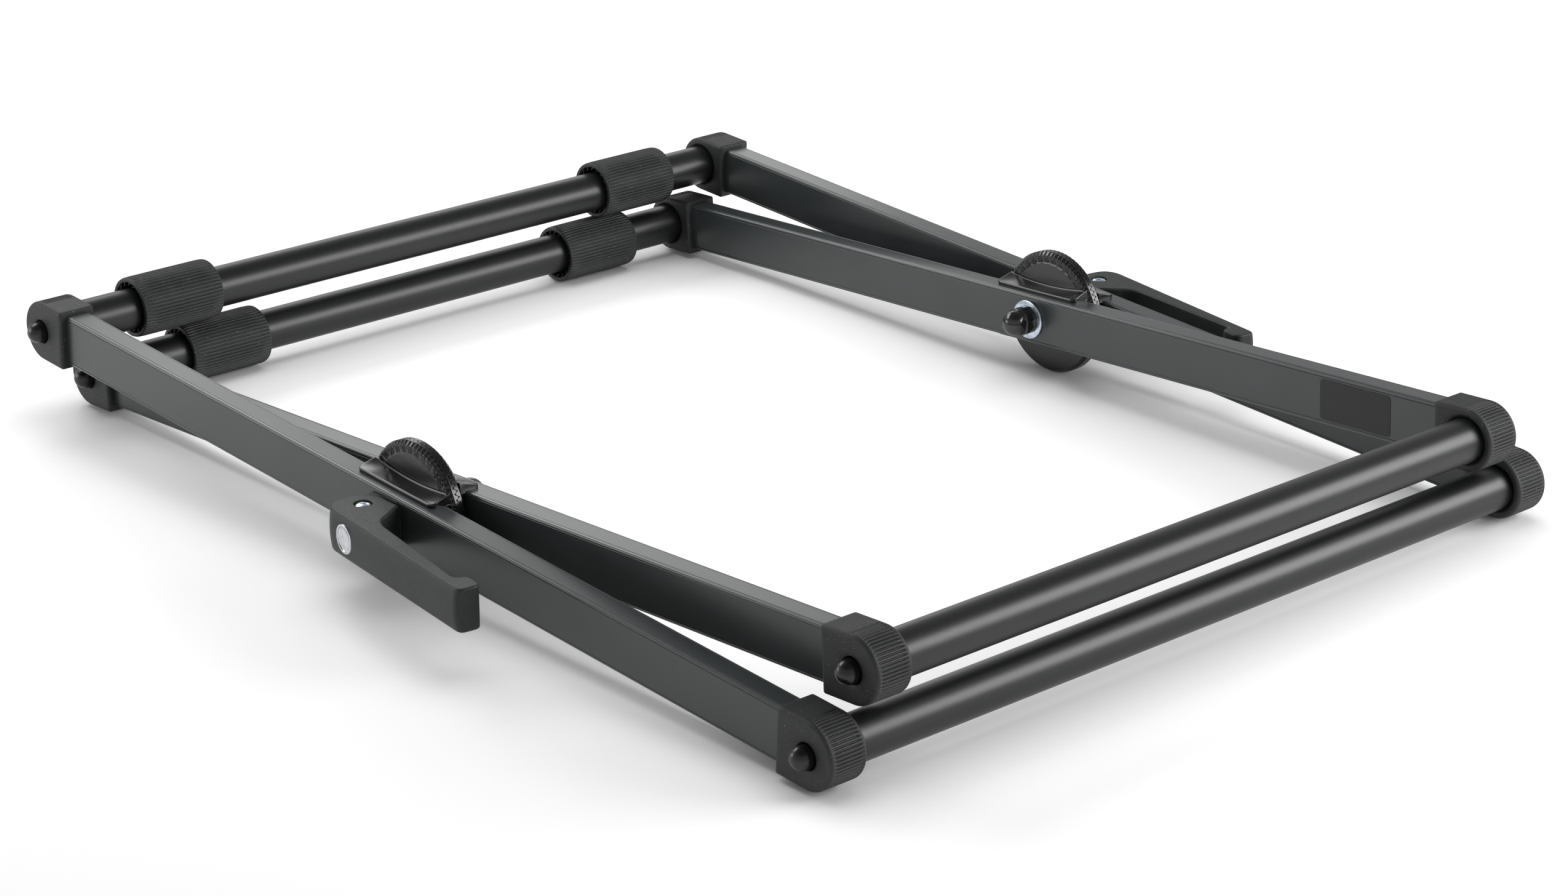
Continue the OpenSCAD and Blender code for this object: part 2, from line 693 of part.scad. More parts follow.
module outer_sleeve_tube() color(tube_black)
    outer_frame() translate([-leg_reach, 0, 0]) cross_tube(outer_leg_inside);
module outer_foot_tube() color(tube_black)
    outer_frame() translate([leg_reach, 0, 0]) cross_tube(outer_leg_inside);
module inner_sleeve_tube() color(tube_black)
    inner_frame() translate([-leg_reach, 0, 0]) cross_tube(inner_leg_inside);
module inner_foot_tube() color(tube_black)
    inner_frame() translate([leg_reach, 0, 0]) cross_tube(inner_leg_inside);

module outer_cap(name, at) outer_frame() side(name) placed_cap(outer_leg_y, at);
module inner_cap(name, at) inner_frame() side(name) placed_cap(inner_leg_y, at);

module upper_sleeve(name) color(rubber_grey) at_pivot()
    translate([-leg_reach * cos(rest_tilt), 0, leg_reach * sin(rest_tilt)])
    side(name) sleeve(-upper_sleeve_y, sleeve_rise);
module lower_sleeve(name) color(rubber_grey) at_pivot()
    translate([-leg_reach * cos(rest_tilt), 0, -leg_reach * sin(rest_tilt)])
    side(name) sleeve(-lower_sleeve_y, -sleeve_rise);

module outer_disc(name) color(disc_black) outer_frame() side(name)
    translate([0, -outer_leg_inside, 0]) saddled_disc(outer_turn, clamp_r + bolt_gap);
module inner_disc(name) color(disc_black) inner_frame() side(name)
    translate([0, -inner_leg_outside, 0]) mirror([0, 1, 0]) saddled_disc(inner_turn, clamp_r + running_gap);

module tube_plugs(half_length) color(zinc)
    for (x = [-1, 1], name = ["near", "far"])
        translate([x * leg_reach, 0, 0]) side(name) tube_plug(half_length);
module frame_bolts(leg_outside, half_length) color(zinc)
    for (x = [-1, 1], name = ["near", "far"])
        translate([x * leg_reach, 0, 0]) side(name) frame_bolt(leg_outside, half_length);
module bolt_domes(leg_outside) color(dome_black)
    for (x = [-1, 1], name = ["near", "far"])
        translate([x * leg_reach, 0, 0]) side(name) bolt_dome(leg_outside);

module clamp_part(name, finish) color(finish) at_pivot() side(name) children();

module lever_at(name) {
    at_pivot() side(name)
        if (name == "near") lever_place(near_pin_y, near_lever_swing) children();
        else lever_place(far_pin_y, -far_lever_lock) children();
}

module blank_label() color([0.10, 0.10, 0.10]) inner_frame()
    translate([leg_reach - label_x, inner_leg_inside - label_thickness, 0]) rotate([-90, 0, 0])
    linear_extrude(label_thickness) rounded_square(label_length, label_height, label_corner);

near_outer_leg();
far_outer_leg();
near_inner_leg();
far_inner_leg();
outer_sleeve_tube();
outer_foot_tube();
inner_sleeve_tube();
inner_foot_tube();
outer_cap("near", "sleeve");  // near_outer_sleeve_cap
outer_cap("near", "foot");  // near_outer_foot_cap
outer_cap("far", "sleeve");  // far_outer_sleeve_cap
outer_cap("far", "foot");  // far_outer_foot_cap
inner_cap("near", "sleeve");  // near_inner_sleeve_cap
inner_cap("near", "foot");  // near_inner_foot_cap
inner_cap("far", "sleeve");  // far_inner_sleeve_cap
inner_cap("far", "foot");  // far_inner_foot_cap
upper_sleeve("near");  // near_upper_sleeve
upper_sleeve("far");  // far_upper_sleeve
lower_sleeve("near");  // near_lower_sleeve
lower_sleeve("far");  // far_lower_sleeve
outer_disc("near");  // near_outer_disc
outer_disc("far");  // far_outer_disc
inner_disc("near");  // near_inner_disc
inner_disc("far");  // far_inner_disc
outer_frame() tube_plugs(outer_leg_inside);  // outer_tube_plugs
inner_frame() tube_plugs(inner_leg_inside);  // inner_tube_plugs
outer_frame() frame_bolts(outer_leg_outside, outer_leg_inside);  // outer_frame_bolts
inner_frame() frame_bolts(inner_leg_outside, inner_leg_inside);  // inner_frame_bolts
outer_frame() bolt_domes(outer_leg_outside);  // outer_bolt_domes
inner_frame() bolt_domes(inner_leg_outside);  // inner_bolt_domes
clamp_part("near", zinc) clamp_bolt(near_pin_y);  // near_clamp_bolt
clamp_part("far", zinc) clamp_bolt(far_pin_y);  // far_clamp_bolt
clamp_part("near", dome_black) clamp_nut();  // near_clamp_nut
clamp_part("far", dome_black) clamp_nut();  // far_clamp_nut
clamp_part("near", zinc) washer();  // near_washer
clamp_part("far", zinc) washer();  // far_washer
clamp_part("near", zinc) release_spring();  // near_release_spring
clamp_part("far", zinc) release_spring();  // far_release_spring
clamp_part("near", disc_black) cam_plate();  // near_cam_plate
clamp_part("far", disc_black) cam_plate();  // far_cam_plate
color(lever_grey) lever_at("near") lever();  // near_lever
color(lever_grey) lever_at("far") lever();  // far_lever
color(zinc) lever_at("near") lever_pin();  // near_lever_pin
color(zinc) lever_at("far") lever_pin();  // far_lever_pin
color(zinc) lever_at("near") badge();  // near_badge
color(zinc) lever_at("far") badge();  // far_badge
blank_label();
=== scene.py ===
import bpy
import json
import numpy as np
from mathutils import Matrix


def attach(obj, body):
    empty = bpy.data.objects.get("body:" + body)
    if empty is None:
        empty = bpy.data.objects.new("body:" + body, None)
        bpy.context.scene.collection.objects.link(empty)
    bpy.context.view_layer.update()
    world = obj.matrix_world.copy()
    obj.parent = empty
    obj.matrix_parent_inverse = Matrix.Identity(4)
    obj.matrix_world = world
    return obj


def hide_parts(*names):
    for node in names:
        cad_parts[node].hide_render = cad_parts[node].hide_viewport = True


# Folding double-X drum stand, lying folded on a pale studio floor.
# Sizes of the stand are in millimetres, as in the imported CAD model, and become metres as each mesh is made.
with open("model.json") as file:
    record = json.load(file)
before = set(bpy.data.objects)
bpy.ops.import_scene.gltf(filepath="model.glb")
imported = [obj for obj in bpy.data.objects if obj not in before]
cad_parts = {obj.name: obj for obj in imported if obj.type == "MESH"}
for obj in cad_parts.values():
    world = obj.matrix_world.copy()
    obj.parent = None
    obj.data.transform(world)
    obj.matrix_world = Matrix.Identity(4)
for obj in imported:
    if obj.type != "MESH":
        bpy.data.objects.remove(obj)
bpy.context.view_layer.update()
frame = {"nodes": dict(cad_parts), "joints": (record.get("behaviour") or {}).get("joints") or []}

jointPlace = {joint["name"]: np.array(joint["pos_m"]) * 1000 for joint in frame["joints"] if "pos_m" in joint}
pivot = jointPlace["frame_fold"]    # middle of the stand, on the axis that both frames turn about

stand = {
    "legReach": 338.0,      # pivot to each cross tube's axis
    "legHeight": 30.0,
    "legThickness": 15.0,
    "outerLegY": 255.2,     # middle of the stand to an outer leg's middle
    "innerLegY": 226.2,
    "tilt": 3.0,            # each frame's angle off level, in degrees
    "tubeRadius": 12.5,
    "upperSleeveY": 178.0,
    "lowerSleeveY": 145.5,
    "sleeveRise": 0.9,      # a sleeve's axis off its tube's axis, as the paired sleeves push apart
    "seatGap": 0.02,        # between a piece and the face that it sits on
    "nearSwing": 7.0,       # the near lever stands a little off its leg
    "farSwing": -9.0,       # the far lever is locked towards its leg
}

frameRows = (("outer", stand["outerLegY"], stand["tilt"]), ("inner", stand["innerLegY"], -stand["tilt"]))


# Joins a stack of closed rings, each the same number of points, with quads. The two ends are
# closed with one flat face each, or the last ring joins the first where wrap is set.
def loft(rings, wrap=False):
    rings = np.asarray(rings, float)
    rows, columns = rings.shape[:2]
    index = np.arange(rows * columns).reshape(rows, columns)
    lower = index if wrap else index[:-1]
    upper = np.roll(index, -1, axis=0) if wrap else index[1:]
    quads = np.stack([lower, np.roll(lower, -1, 1), np.roll(upper, -1, 1), upper], axis=-1).reshape(-1, 4)
    ends = [] if wrap else [index[0][::-1], index[-1]]
    return rings.reshape(-1, 3), quads, ends


# A surface of revolution about +Z: radius and height of a profile, swept round the full turn
def lathe(profile, count):
    profile = np.asarray(profile, float)
    angle = np.linspace(0, 2 * np.pi, count, endpoint=False)
    radius, height = profile[:, :1], profile[:, 1:]
    return np.stack([radius * np.cos(angle), radius * np.sin(angle), height + 0 * angle], axis=-1)


# Points of an arc about a middle, from one angle to another, in degrees
def arc(middle, radius, start, stop, count):
    angle = np.radians(np.linspace(start, stop, count))
    return np.stack([middle[0] + radius * np.cos(angle), middle[1] + radius * np.sin(angle)], axis=-1)


# A quadratic bend between two points, drawn towards a third
def bend(start, towards, stop, count):
    t = np.linspace(0, 1, count)[:, None]
    start, towards, stop = (np.array(p, float) for p in (start, towards, stop))
    return (1 - t) ** 2 * start + 2 * t * (1 - t) * towards + t ** 2 * stop


def joinPoints(*parts):
    return np.concatenate([np.asarray(part, float).reshape(-1, 2) for part in parts])


# Rounded square wave, 0 on a rib's crest and 1 in the valley, from a phase in turns
def ribWave(phase):
    return 1 - ramp(np.abs(phase % 1 - 0.5) * 2, 0.18, 0.55)


# 0 below start, 1 above stop, smooth between
def ramp(value, start, stop):
    t = np.clip((value - start) / (stop - start), 0, 1)
    return t * t * (3 - 2 * t)


# Moves a ring of plan points inwards along their own normals, by amount
def inset(outline, amount):
    step = np.roll(outline, -1, 0) - np.roll(outline, 1, 0)
    step /= np.linalg.norm(step, axis=1, keepdims=True) + 1e-12
    area = np.sum(outline[:, 0] * np.roll(outline[:, 1], -1) - np.roll(outline[:, 0], -1) * outline[:, 1])
    normal = np.stack([-step[:, 1], step[:, 0]], axis=-1) * np.sign(area)
    return outline + normal * amount


# Spreads points evenly along a closed outline, about pitch apart
def respace(outline, pitch):
    closed = np.concatenate([outline, outline[:1]])
    length = np.concatenate([[0], np.cumsum(np.linalg.norm(np.diff(closed, axis=0), axis=1))])
    keep = np.concatenate([[True], np.diff(length) > 1e-6])
    closed, length = closed[keep], length[keep]
    at = np.linspace(0, length[-1], max(int(length[-1] / pitch), 12), endpoint=False)
    return np.stack([np.interp(at, length, closed[:, 0]), np.interp(at, length, closed[:, 1])], axis=-1)


# Turns and moves millimetre points from a leg's level position to the folded stand.
# x runs along the leg, y across the stand (the near side is -Y), z across the leg's height.
def onFrame(points, tilt, side="near"):
    points = np.array(points, float)
    if side == "far":
        points[..., 1] *= -1
    a = np.radians(tilt)
    x, z = points[..., 0].copy(), points[..., 2].copy()
    points[..., 0] = x * np.cos(a) + z * np.sin(a)
    points[..., 2] = -x * np.sin(a) + z * np.cos(a)
    return points + pivot


# Puts a mesh, lamp, camera or text into the scene, unturned and at the origin
def addObject(name, data):
    holder = bpy.data.objects.new(name, data)
    bpy.context.scene.collection.objects.link(holder)
    return holder


# Makes one mesh object of closed shells, with every shell's faces turned outwards by its volume
def makePiece(name, shells, material, body, nodes, sharp=35):
    allPoints, allFaces, offset = [], [], 0
    for points, quads, ends in shells:
        a, b, c, d = (points[quads[:, i]] for i in range(4))
        volume = np.einsum("ij,ij->", a, np.cross(b, c)) + np.einsum("ij,ij->", a, np.cross(c, d))
        for end in ends:
            fan = points[end]
            volume += np.einsum("ij,ij->", np.broadcast_to(fan[0], fan[1:-1].shape), np.cross(fan[1:-1], fan[2:]))
        if volume < 0:
            quads, ends = quads[:, ::-1], [end[::-1] for end in ends]
        allPoints.append(points)
        allFaces += (quads + offset).tolist() + [(end + offset).tolist() for end in ends]
        offset += len(points)
    mesh = bpy.data.meshes.new(name)
    mesh.from_pydata((np.concatenate(allPoints) / 1000).tolist(), [], allFaces)
    mesh.polygons.foreach_set("use_smooth", np.ones(len(mesh.polygons), bool))
    mesh.set_sharp_from_angle(angle=np.radians(sharp))
    mesh.materials.append(material)
    mesh.validate()
    piece = addObject(name, mesh)
    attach(piece, body)
    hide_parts(*nodes)


# An sRGB hex colour as the linear values that a shader takes
def hexColour(code):
    value = np.array([int(code[i:i + 2], 16) for i in (1, 3, 5)]) / 255
    linear = np.where(value <= 0.04045, value / 12.92, ((value + 0.055) / 1.055) ** 2.4)
    return (*linear.tolist(), 1.0)


# Adds a shader node. Settings go to its inputs or else to the node itself, links join its inputs
# to other nodes' sockets.
def addNode(material, kind, settings, links=None):
    node = material.node_tree.nodes.new("ShaderNode" + kind)
    for key, value in settings.items():
        if isinstance(key, int) or key in node.inputs:
            node.inputs[key].default_value = value
        else:
            setattr(node, key, value)
    for key, source in (links or {}).items():
        material.node_tree.links.new(source, node.inputs[key])
    return node


# A shader whose colour drifts between two hex values, whose gloss varies a little, and whose
# surface is lifted by a fine grain. grain and drift are feature sizes in millimetres. specks is
# the colour of a few specks of dust about a millimetre apart.
def makeFinish(name, dark, light, roughness, spread, grain, height, drift, specks=None, **shader):
    material = bpy.data.materials.new(name)
    material.use_nodes = True
    material.node_tree.nodes.clear()
    place = addNode(material, "TexCoord", {}).outputs["Object"]
    fine = addNode(material, "TexNoise", {"Scale": 1000 / grain, "Detail": 2.0, "Roughness": 0.6}, {"Vector": place})
    wide = addNode(material, "TexNoise", {"Scale": 1000 / drift, "Detail": 3.0}, {"Vector": place})
    tint = addNode(material, "MapRange", {"From Min": 0.35, "From Max": 0.65}, {"Value": wide.outputs["Fac"]})
    colour = addNode(material, "Mix", {"data_type": "RGBA"}, {"Factor": tint.outputs["Result"]})
    colour.inputs[6].default_value = hexColour(dark)
    colour.inputs[7].default_value = hexColour(light)
    gloss = addNode(material, "MapRange", {"From Min": 0.3, "From Max": 0.7, "To Min": roughness - spread,
                                           "To Max": roughness + spread}, {"Value": fine.outputs["Fac"]})
    bump = addNode(material, "Bump", {"Strength": 1.0, "Distance": height / 1000}, {"Height": fine.outputs["Fac"]})
    tone = colour.outputs[2]
    if specks:
        dust = addNode(material, "TexNoise", {"Scale": 1000 / dustGrain, "Detail": 1.0}, {"Vector": place})
        spot = addNode(material, "MapRange", {"From Min": 0.74, "From Max": 0.78}, {"Value": dust.outputs["Fac"]})
        dusty = addNode(material, "Mix", {"data_type": "RGBA"}, {"Factor": spot.outputs["Result"], 6: tone})
        dusty.inputs[7].default_value = hexColour(specks)
        tone = dusty.outputs[2]
    base = addNode(material, "BsdfPrincipled", shader, {
        "Base Color": tone, "Roughness": gloss.outputs["Result"], "Normal": bump.outputs["Normal"]})
    addNode(material, "OutputMaterial", {}, {"Surface": base.outputs["BSDF"]})
    return material

dustGrain = 1.1         # mm between specks of dust


# Satin powder coat over steel tube: an even dark grey with a fine orange peel
legPowderCoat = makeFinish("satinPowderCoatedSteel", "#2b2f30", "#303435", 0.30, 0.02, 0.9, 0.0015, 60, IOR=1.56)
# Satin black coat on round tube: darker and softer in gloss, so a wide soft streak runs along it
tubeBlackCoat = makeFinish("satinBlackTubeCoat", "#121314", "#161718", 0.38, 0.03, 0.9, 0.002, 60, IOR=1.5)
# Moulded black rubber: matt, a little dusty, with a coarse tooled skin
capRubber = makeFinish("mouldedBlackRubber", "#1c1e1d", "#232524", 0.62, 0.10, 0.6, 0.02, 9,
                       specks="#7d807e", IOR=1.5)
# The same rubber, a little smoother between its ribs
sleeveRubber = makeFinish("ribbedBlackRubber", "#1c1e1e", "#232525", 0.58, 0.10, 0.6, 0.015, 9,
                          specks="#7d807e", IOR=1.5)
# Polished-mould ABS: glossy black with a faint ripple
discAbs = makeFinish("glossBlackAbs", "#0f1011", "#141516", 0.20, 0.03, 2.5, 0.006, 20, IOR=1.53)
# Smooth black cap plastic: satin, so each dome holds two soft highlights
domePlastic = makeFinish("satinBlackDomePlastic", "#0a0a0a", "#0e0e0e", 0.29, 0.03, 2.5, 0.003, 10, IOR=1.5)
# Glass-filled nylon from a spark-eroded mould: charcoal, matt, a fine even grain
leverNylon = makeFinish("grainedGlassFilledNylon", "#1b1f1e", "#212524", 0.52, 0.08, 0.7, 0.025, 12, IOR=1.43)
# Blue-passivated zinc plate: bright metal with a cool cast and cloudy patches
zincPlate = makeFinish("bluePassivatedZincPlate", "#aebccd", "#d3dae2", 0.24, 0.08, 1.2, 0.004, 4, Metallic=1.0)
# Softly brushed chrome on the bare badge place
badgeChrome = makeFinish("brushedChrome", "#b9bcc0", "#cfd1d4", 0.24, 0.05, 0.8, 0.002, 5, Metallic=1.0)
# Black-plated steel nut: dark, glossy
nutBlack = makeFinish("blackPlatedNut", "#111212", "#181919", 0.17, 0.04, 1.5, 0.004, 6, IOR=1.6)
# Matt black vinyl film of the blank label
labelFilm = makeFinish("mattBlackVinylFilm", "#0b0b0c", "#101011", 0.55, 0.06, 0.8, 0.003, 15, IOR=1.5)
# Thin nylon wear plate under each lever's cam
wearPlate = makeFinish("mattBlackNylonPlate", "#151616", "#1b1c1c", 0.50, 0.06, 0.8, 0.01, 10, IOR=1.53)
# Bright drawn spring steel and turned aluminium, both sealed inside
springSteel = makeFinish("drawnSpringSteel", "#9b9c9e", "#b4b5b7", 0.30, 0.06, 0.8, 0.004, 5, Metallic=1.0)
plugAluminium = makeFinish("turnedAluminium", "#b7b8ba", "#cbccce", 0.34, 0.06, 0.5, 0.005, 8, Metallic=1.0)
print("materials made:", len(bpy.data.materials))

# CAD nodes that need no finer shape keep their own mesh and get a finish
cadFinish = {
    "clamp_bolt": zincPlate, "frame_bolts": zincPlate, "tube_plugs": plugAluminium,
    "release_spring": springSteel, "cam_plate": wearPlate, "blank_label": labelFilm,
}
for nodeName, node in frame["nodes"].items():
    for ending, finish in cadFinish.items():
        if nodeName.endswith(ending):
            node.data.materials.clear()
            node.data.materials.append(finish)

leg = {
    "bead": 1.7, "groove": 0.5, "grooveMiddle": 0.6, "grooveDepth": 0.3, "flatStart": 0.25,
    "groovePoints": 7, "beadPoints": 9, "endSteps": 10, "endAngle": 88.0,
}


# Section of a leg: a rectangle whose corners are beads, with a small cosine groove on both
# sides of each bead. A point a little past each groove keeps the wide faces flat. Returns (y, z).
def legSection():
    halfY, halfZ, r = stand["legThickness"] / 2, stand["legHeight"] / 2, leg["bead"]
    t = np.linspace(-0.5, 0.5, leg["groovePoints"])
    dip = leg["grooveDepth"] * (0.5 + 0.5 * np.cos(2 * np.pi * t))
    along = r + leg["groove"] * (leg["grooveMiddle"] + t)           # distance of the groove from the corner
    flat = along[-1] + leg["flatStart"]
    quarter = joinPoints(
        [[halfY, halfZ - flat]], np.stack([halfY - dip, halfZ - along[::-1]], -1),
        arc([halfY - r, halfZ - r], r, 0, 90, leg["beadPoints"]),
        np.stack([halfY - along, halfZ - dip], -1), [[halfY - flat, halfZ]])
    return joinPoints(quarter, quarter[::-1] * [-1, 1], quarter * [-1, -1], quarter[::-1] * [1, -1])


# A leg is its section carried along x. Past each tube's axis the height is clipped to a
# half circle, so the end is round inside its cap.
def makeLeg(legY):
    section = legSection()
    phi = np.radians(np.linspace(0, leg["endAngle"], leg["endSteps"]))
    halfHeight = stand["legHeight"] / 2
    endX, endHeight = stand["legReach"] + halfHeight * np.sin(phi), halfHeight * np.cos(phi)
    x = np.concatenate([-endX[::-1], endX])[:, None]
    limit = np.concatenate([endHeight[::-1], endHeight])[:, None]
    return np.stack([x + 0 * section[:, 0], section[:, 0] - legY + 0 * x,
                     np.clip(section[:, 1], -limit, limit)], axis=-1)


for side in ("near", "far"):
    for frameName, legY, tilt in frameRows:
        makePiece(f"{side}{frameName.title()}LegTube", [loft(onFrame(makeLeg(legY), tilt, side))], legPowderCoat,
                  f"{frameName}_frame", [f"{side}_{frameName}_leg"])
print("legs made")

tube = {"columns": 112, "rows": 9}


# A tube is a circle carried along y between two legs' inner faces.
def makeTube(end, halfLength):
    y = np.linspace(-halfLength, halfLength, tube["rows"])
    rings = lathe(np.stack([np.full_like(y, stand["tubeRadius"]), y], -1), tube["columns"])[..., [0, 2, 1]]
    return rings + [end * stand["legReach"], 0, 0]


for frameName, legY, tilt in frameRows:
    for endName, end in (("sleeve", -1), ("foot", 1)):
        makePiece(f"{frameName}{endName.title()}Tube",
                  [loft(onFrame(makeTube(end, legY - stand["legThickness"] / 2), tilt))], tubeBlackCoat,
                  f"{frameName}_frame", [f"{frameName}_{endName}_tube"])
print("cross tubes made")

cap = {
    "radius": 17.9, "collar": 21.5, "width": 23.6, "edge": 2.0, "corner": 1.4, "leastCorner": 0.3,
    "ribs": 54, "ribDepth": 0.9, "ribStart": 3.0, "ribMargin": 2.4, "ribFade": 1.5, "pointsPerRib": 10,
    "sidePoints": 7, "backPoints": 13, "cornerPoints": 6, "edgeRows": 8, "ribRows": 19,
    "recess": 7.0, "recessLip": 0.7, "boreGap": 0.05, "flare": 1.6, "flareLip": 0.4, "pole": 0.02,
}


# Outline of a cap seen along the tube: a half circle about the tube's axis and a square collar
# towards -x. amount moves it inwards. Ribs are a rounded wave along the outline's length.
def capOutline(amount, ribs):
    r, left = cap["radius"] - amount, cap["collar"] - amount
    corner = max(cap["corner"] - amount / 2, cap["leastCorner"])
    pitch, quarter = 2 * np.pi * cap["radius"] / cap["ribs"], np.pi / 2 * cap["radius"]
    perHalf = int(cap["ribs"] / 2 * cap["pointsPerRib"])
    straight = int(round(cap["ribStart"] / pitch * cap["pointsPerRib"]))
    length = np.concatenate([np.linspace(-quarter, quarter, perHalf + 1),
                             quarter + np.linspace(0, cap["ribStart"], straight + 1)[1:]])
    length = np.concatenate([-length[perHalf + 1:][::-1], length])
    fade = ramp(quarter + cap["ribStart"] - np.abs(length), 0, cap["ribFade"])
    dip = cap["ribDepth"] * ribs * fade * ribWave(length / pitch)
    turn = np.clip(length / cap["radius"], -np.pi / 2, np.pi / 2)
    behind = np.maximum(np.abs(length) - quarter, 0)
    ribbed = np.stack([(r - dip) * np.cos(turn) - behind, (r - dip) * np.sin(turn)], -1)
    along = np.linspace(-cap["ribStart"], -left + corner, cap["sidePoints"] + 2)[1:-1]
    down = np.linspace(r - corner, -r + corner, cap["backPoints"] + 2)[1:-1]
    upper, lower = (arc([-left + corner, z], corner, start, start + 90, cap["cornerPoints"])
                    for z, start in ((r - corner, 90), (-r + corner, 180)))
    return joinPoints(ribbed, np.stack([along, 0 * along + r], -1), upper,
                      np.stack([0 * down - left, down], -1), lower, np.stack([along[::-1], 0 * along - r], -1))


# A cap is a stack of outlines across its width. On each face they shrink to the round recess
# of the dome or the bore of the tube, and the bores are closed at the leg's own faces.
def makeCap():
    half, edge, legSide = cap["width"] / 2, cap["edge"], stand["legThickness"] / 2 + stand["seatGap"]
    plain, faceEdge = capOutline(0, 0), capOutline(edge, 0)
    heading = np.arctan2(plain[:, 1], plain[:, 0])
    circle = np.stack([np.cos(heading), np.sin(heading)], -1)
    pole, recess, bore = cap["pole"], cap["recess"], stand["tubeRadius"] + cap["boreGap"]
    recessMouth, boreMouth = recess + cap["recessLip"], bore + cap["flare"] + cap["flareLip"]
    rounding = [(capOutline(edge * (1 - np.sin(a)), 0), half - edge * (1 - np.cos(a)))
                for a in np.radians(np.linspace(0, 90, cap["edgeRows"]))]
    rows = [(circle * pole, -legSide), (circle * recess, -legSide), (circle * recess, -half + 0.7),
            (circle * (recess + 0.2), -half + 0.25), (circle * recessMouth, -half)]
    rows += [(circle * recessMouth * (1 - t) + faceEdge * t, -half) for t in (0.3, 0.6, 0.9)]
    rows += [(outline, -y) for outline, y in rounding]
    for y in np.linspace(-half + edge + 0.1, half - edge - 0.1, cap["ribRows"]):
        strength = float(ramp(half - cap["ribMargin"] - abs(y), -0.3, 1.6))
        rows.append((capOutline(0, strength), y))
    rows += rounding[::-1]
    rows += [(circle * boreMouth * (1 - t) + faceEdge * t, half) for t in (0.9, 0.6, 0.3)]
    rows += [(circle * boreMouth, half), (circle * (bore + cap["flare"]), half - 0.3),
             (circle * bore, half - cap["flare"]), (circle * bore, legSide), (circle * pole, legSide)]
    return np.stack([np.stack([p[:, 0], np.full(len(p), y), p[:, 1]], -1) for p, y in rows])


capRings = makeCap()
for side in ("near", "far"):
    for frameName, legY, tilt in frameRows:
        for endName, end in (("sleeve", -1), ("foot", 1)):
            rings = (capRings + [stand["legReach"], 0, 0]) * [end, 1, 1] - [0, legY, 0]
            makePiece(f"{side}{frameName.title()}{endName.title()}Cap", [loft(onFrame(rings, tilt, side))], capRubber,
                      f"{frameName}_frame", [f"{side}_{frameName}_{endName}_cap"], sharp=60)
print("end caps made")

dome = {"radius": 6.2, "stem": 6.6, "flange": 6.6, "flangeHeight": 1.2, "columns": 56}


# A dome is turned: a flange, a straight stem and a half sphere.
def makeDome():
    r, flange, height = dome["radius"], dome["flange"], dome["flangeHeight"]
    profile = joinPoints(
        [[0.01, stand["seatGap"]], [flange - 0.2, stand["seatGap"]], [flange, 0.2], [flange, height - 0.25],
         [flange - 0.15, height], [r + 0.1, height + 0.05], [r, height + 0.25]],
        arc([0, dome["stem"]], r, 0, 89, 16))
    return lathe(profile, dome["columns"])


# Turned pieces that face -y sit on a leg's outer face
def facingOut(rings, x, y):
    return np.stack([rings[..., 0] + x, y - rings[..., 2], rings[..., 1]], -1)


domeRings = makeDome()
for frameName, legY, tilt in frameRows:
    outerFace = -legY - stand["legThickness"] / 2
    shells = [loft(onFrame(facingOut(domeRings, end * stand["legReach"], outerFace), tilt, side))
              for side in ("near", "far") for end in (-1, 1)]
    makePiece(f"{frameName}BoltDomes", shells, domePlastic, f"{frameName}_frame",
              [f"{frameName}_bolt_domes"], sharp=50)
print("domes made")

sleeve = {
    "length": 55.5, "radius": 18.39, "bore": 15.59, "boreFlare": 0.3, "rows": 15, "pointsPerRib": 10,
    "ribs": 52, "ribDepth": 0.8, "ribHeight": 0.35, "endRing": 1.6, "ringFade": 0.9,
    "endRound": 0.45, "endRows": (0, 0.15, 0.45, 0.9), "firstRow": 1.2,
    "fins": 18, "finThickness": 0.9, "finTip": 13.45, "finRoot": 0.4, "finSlant": 9.0, "finInset": 1.0,
}


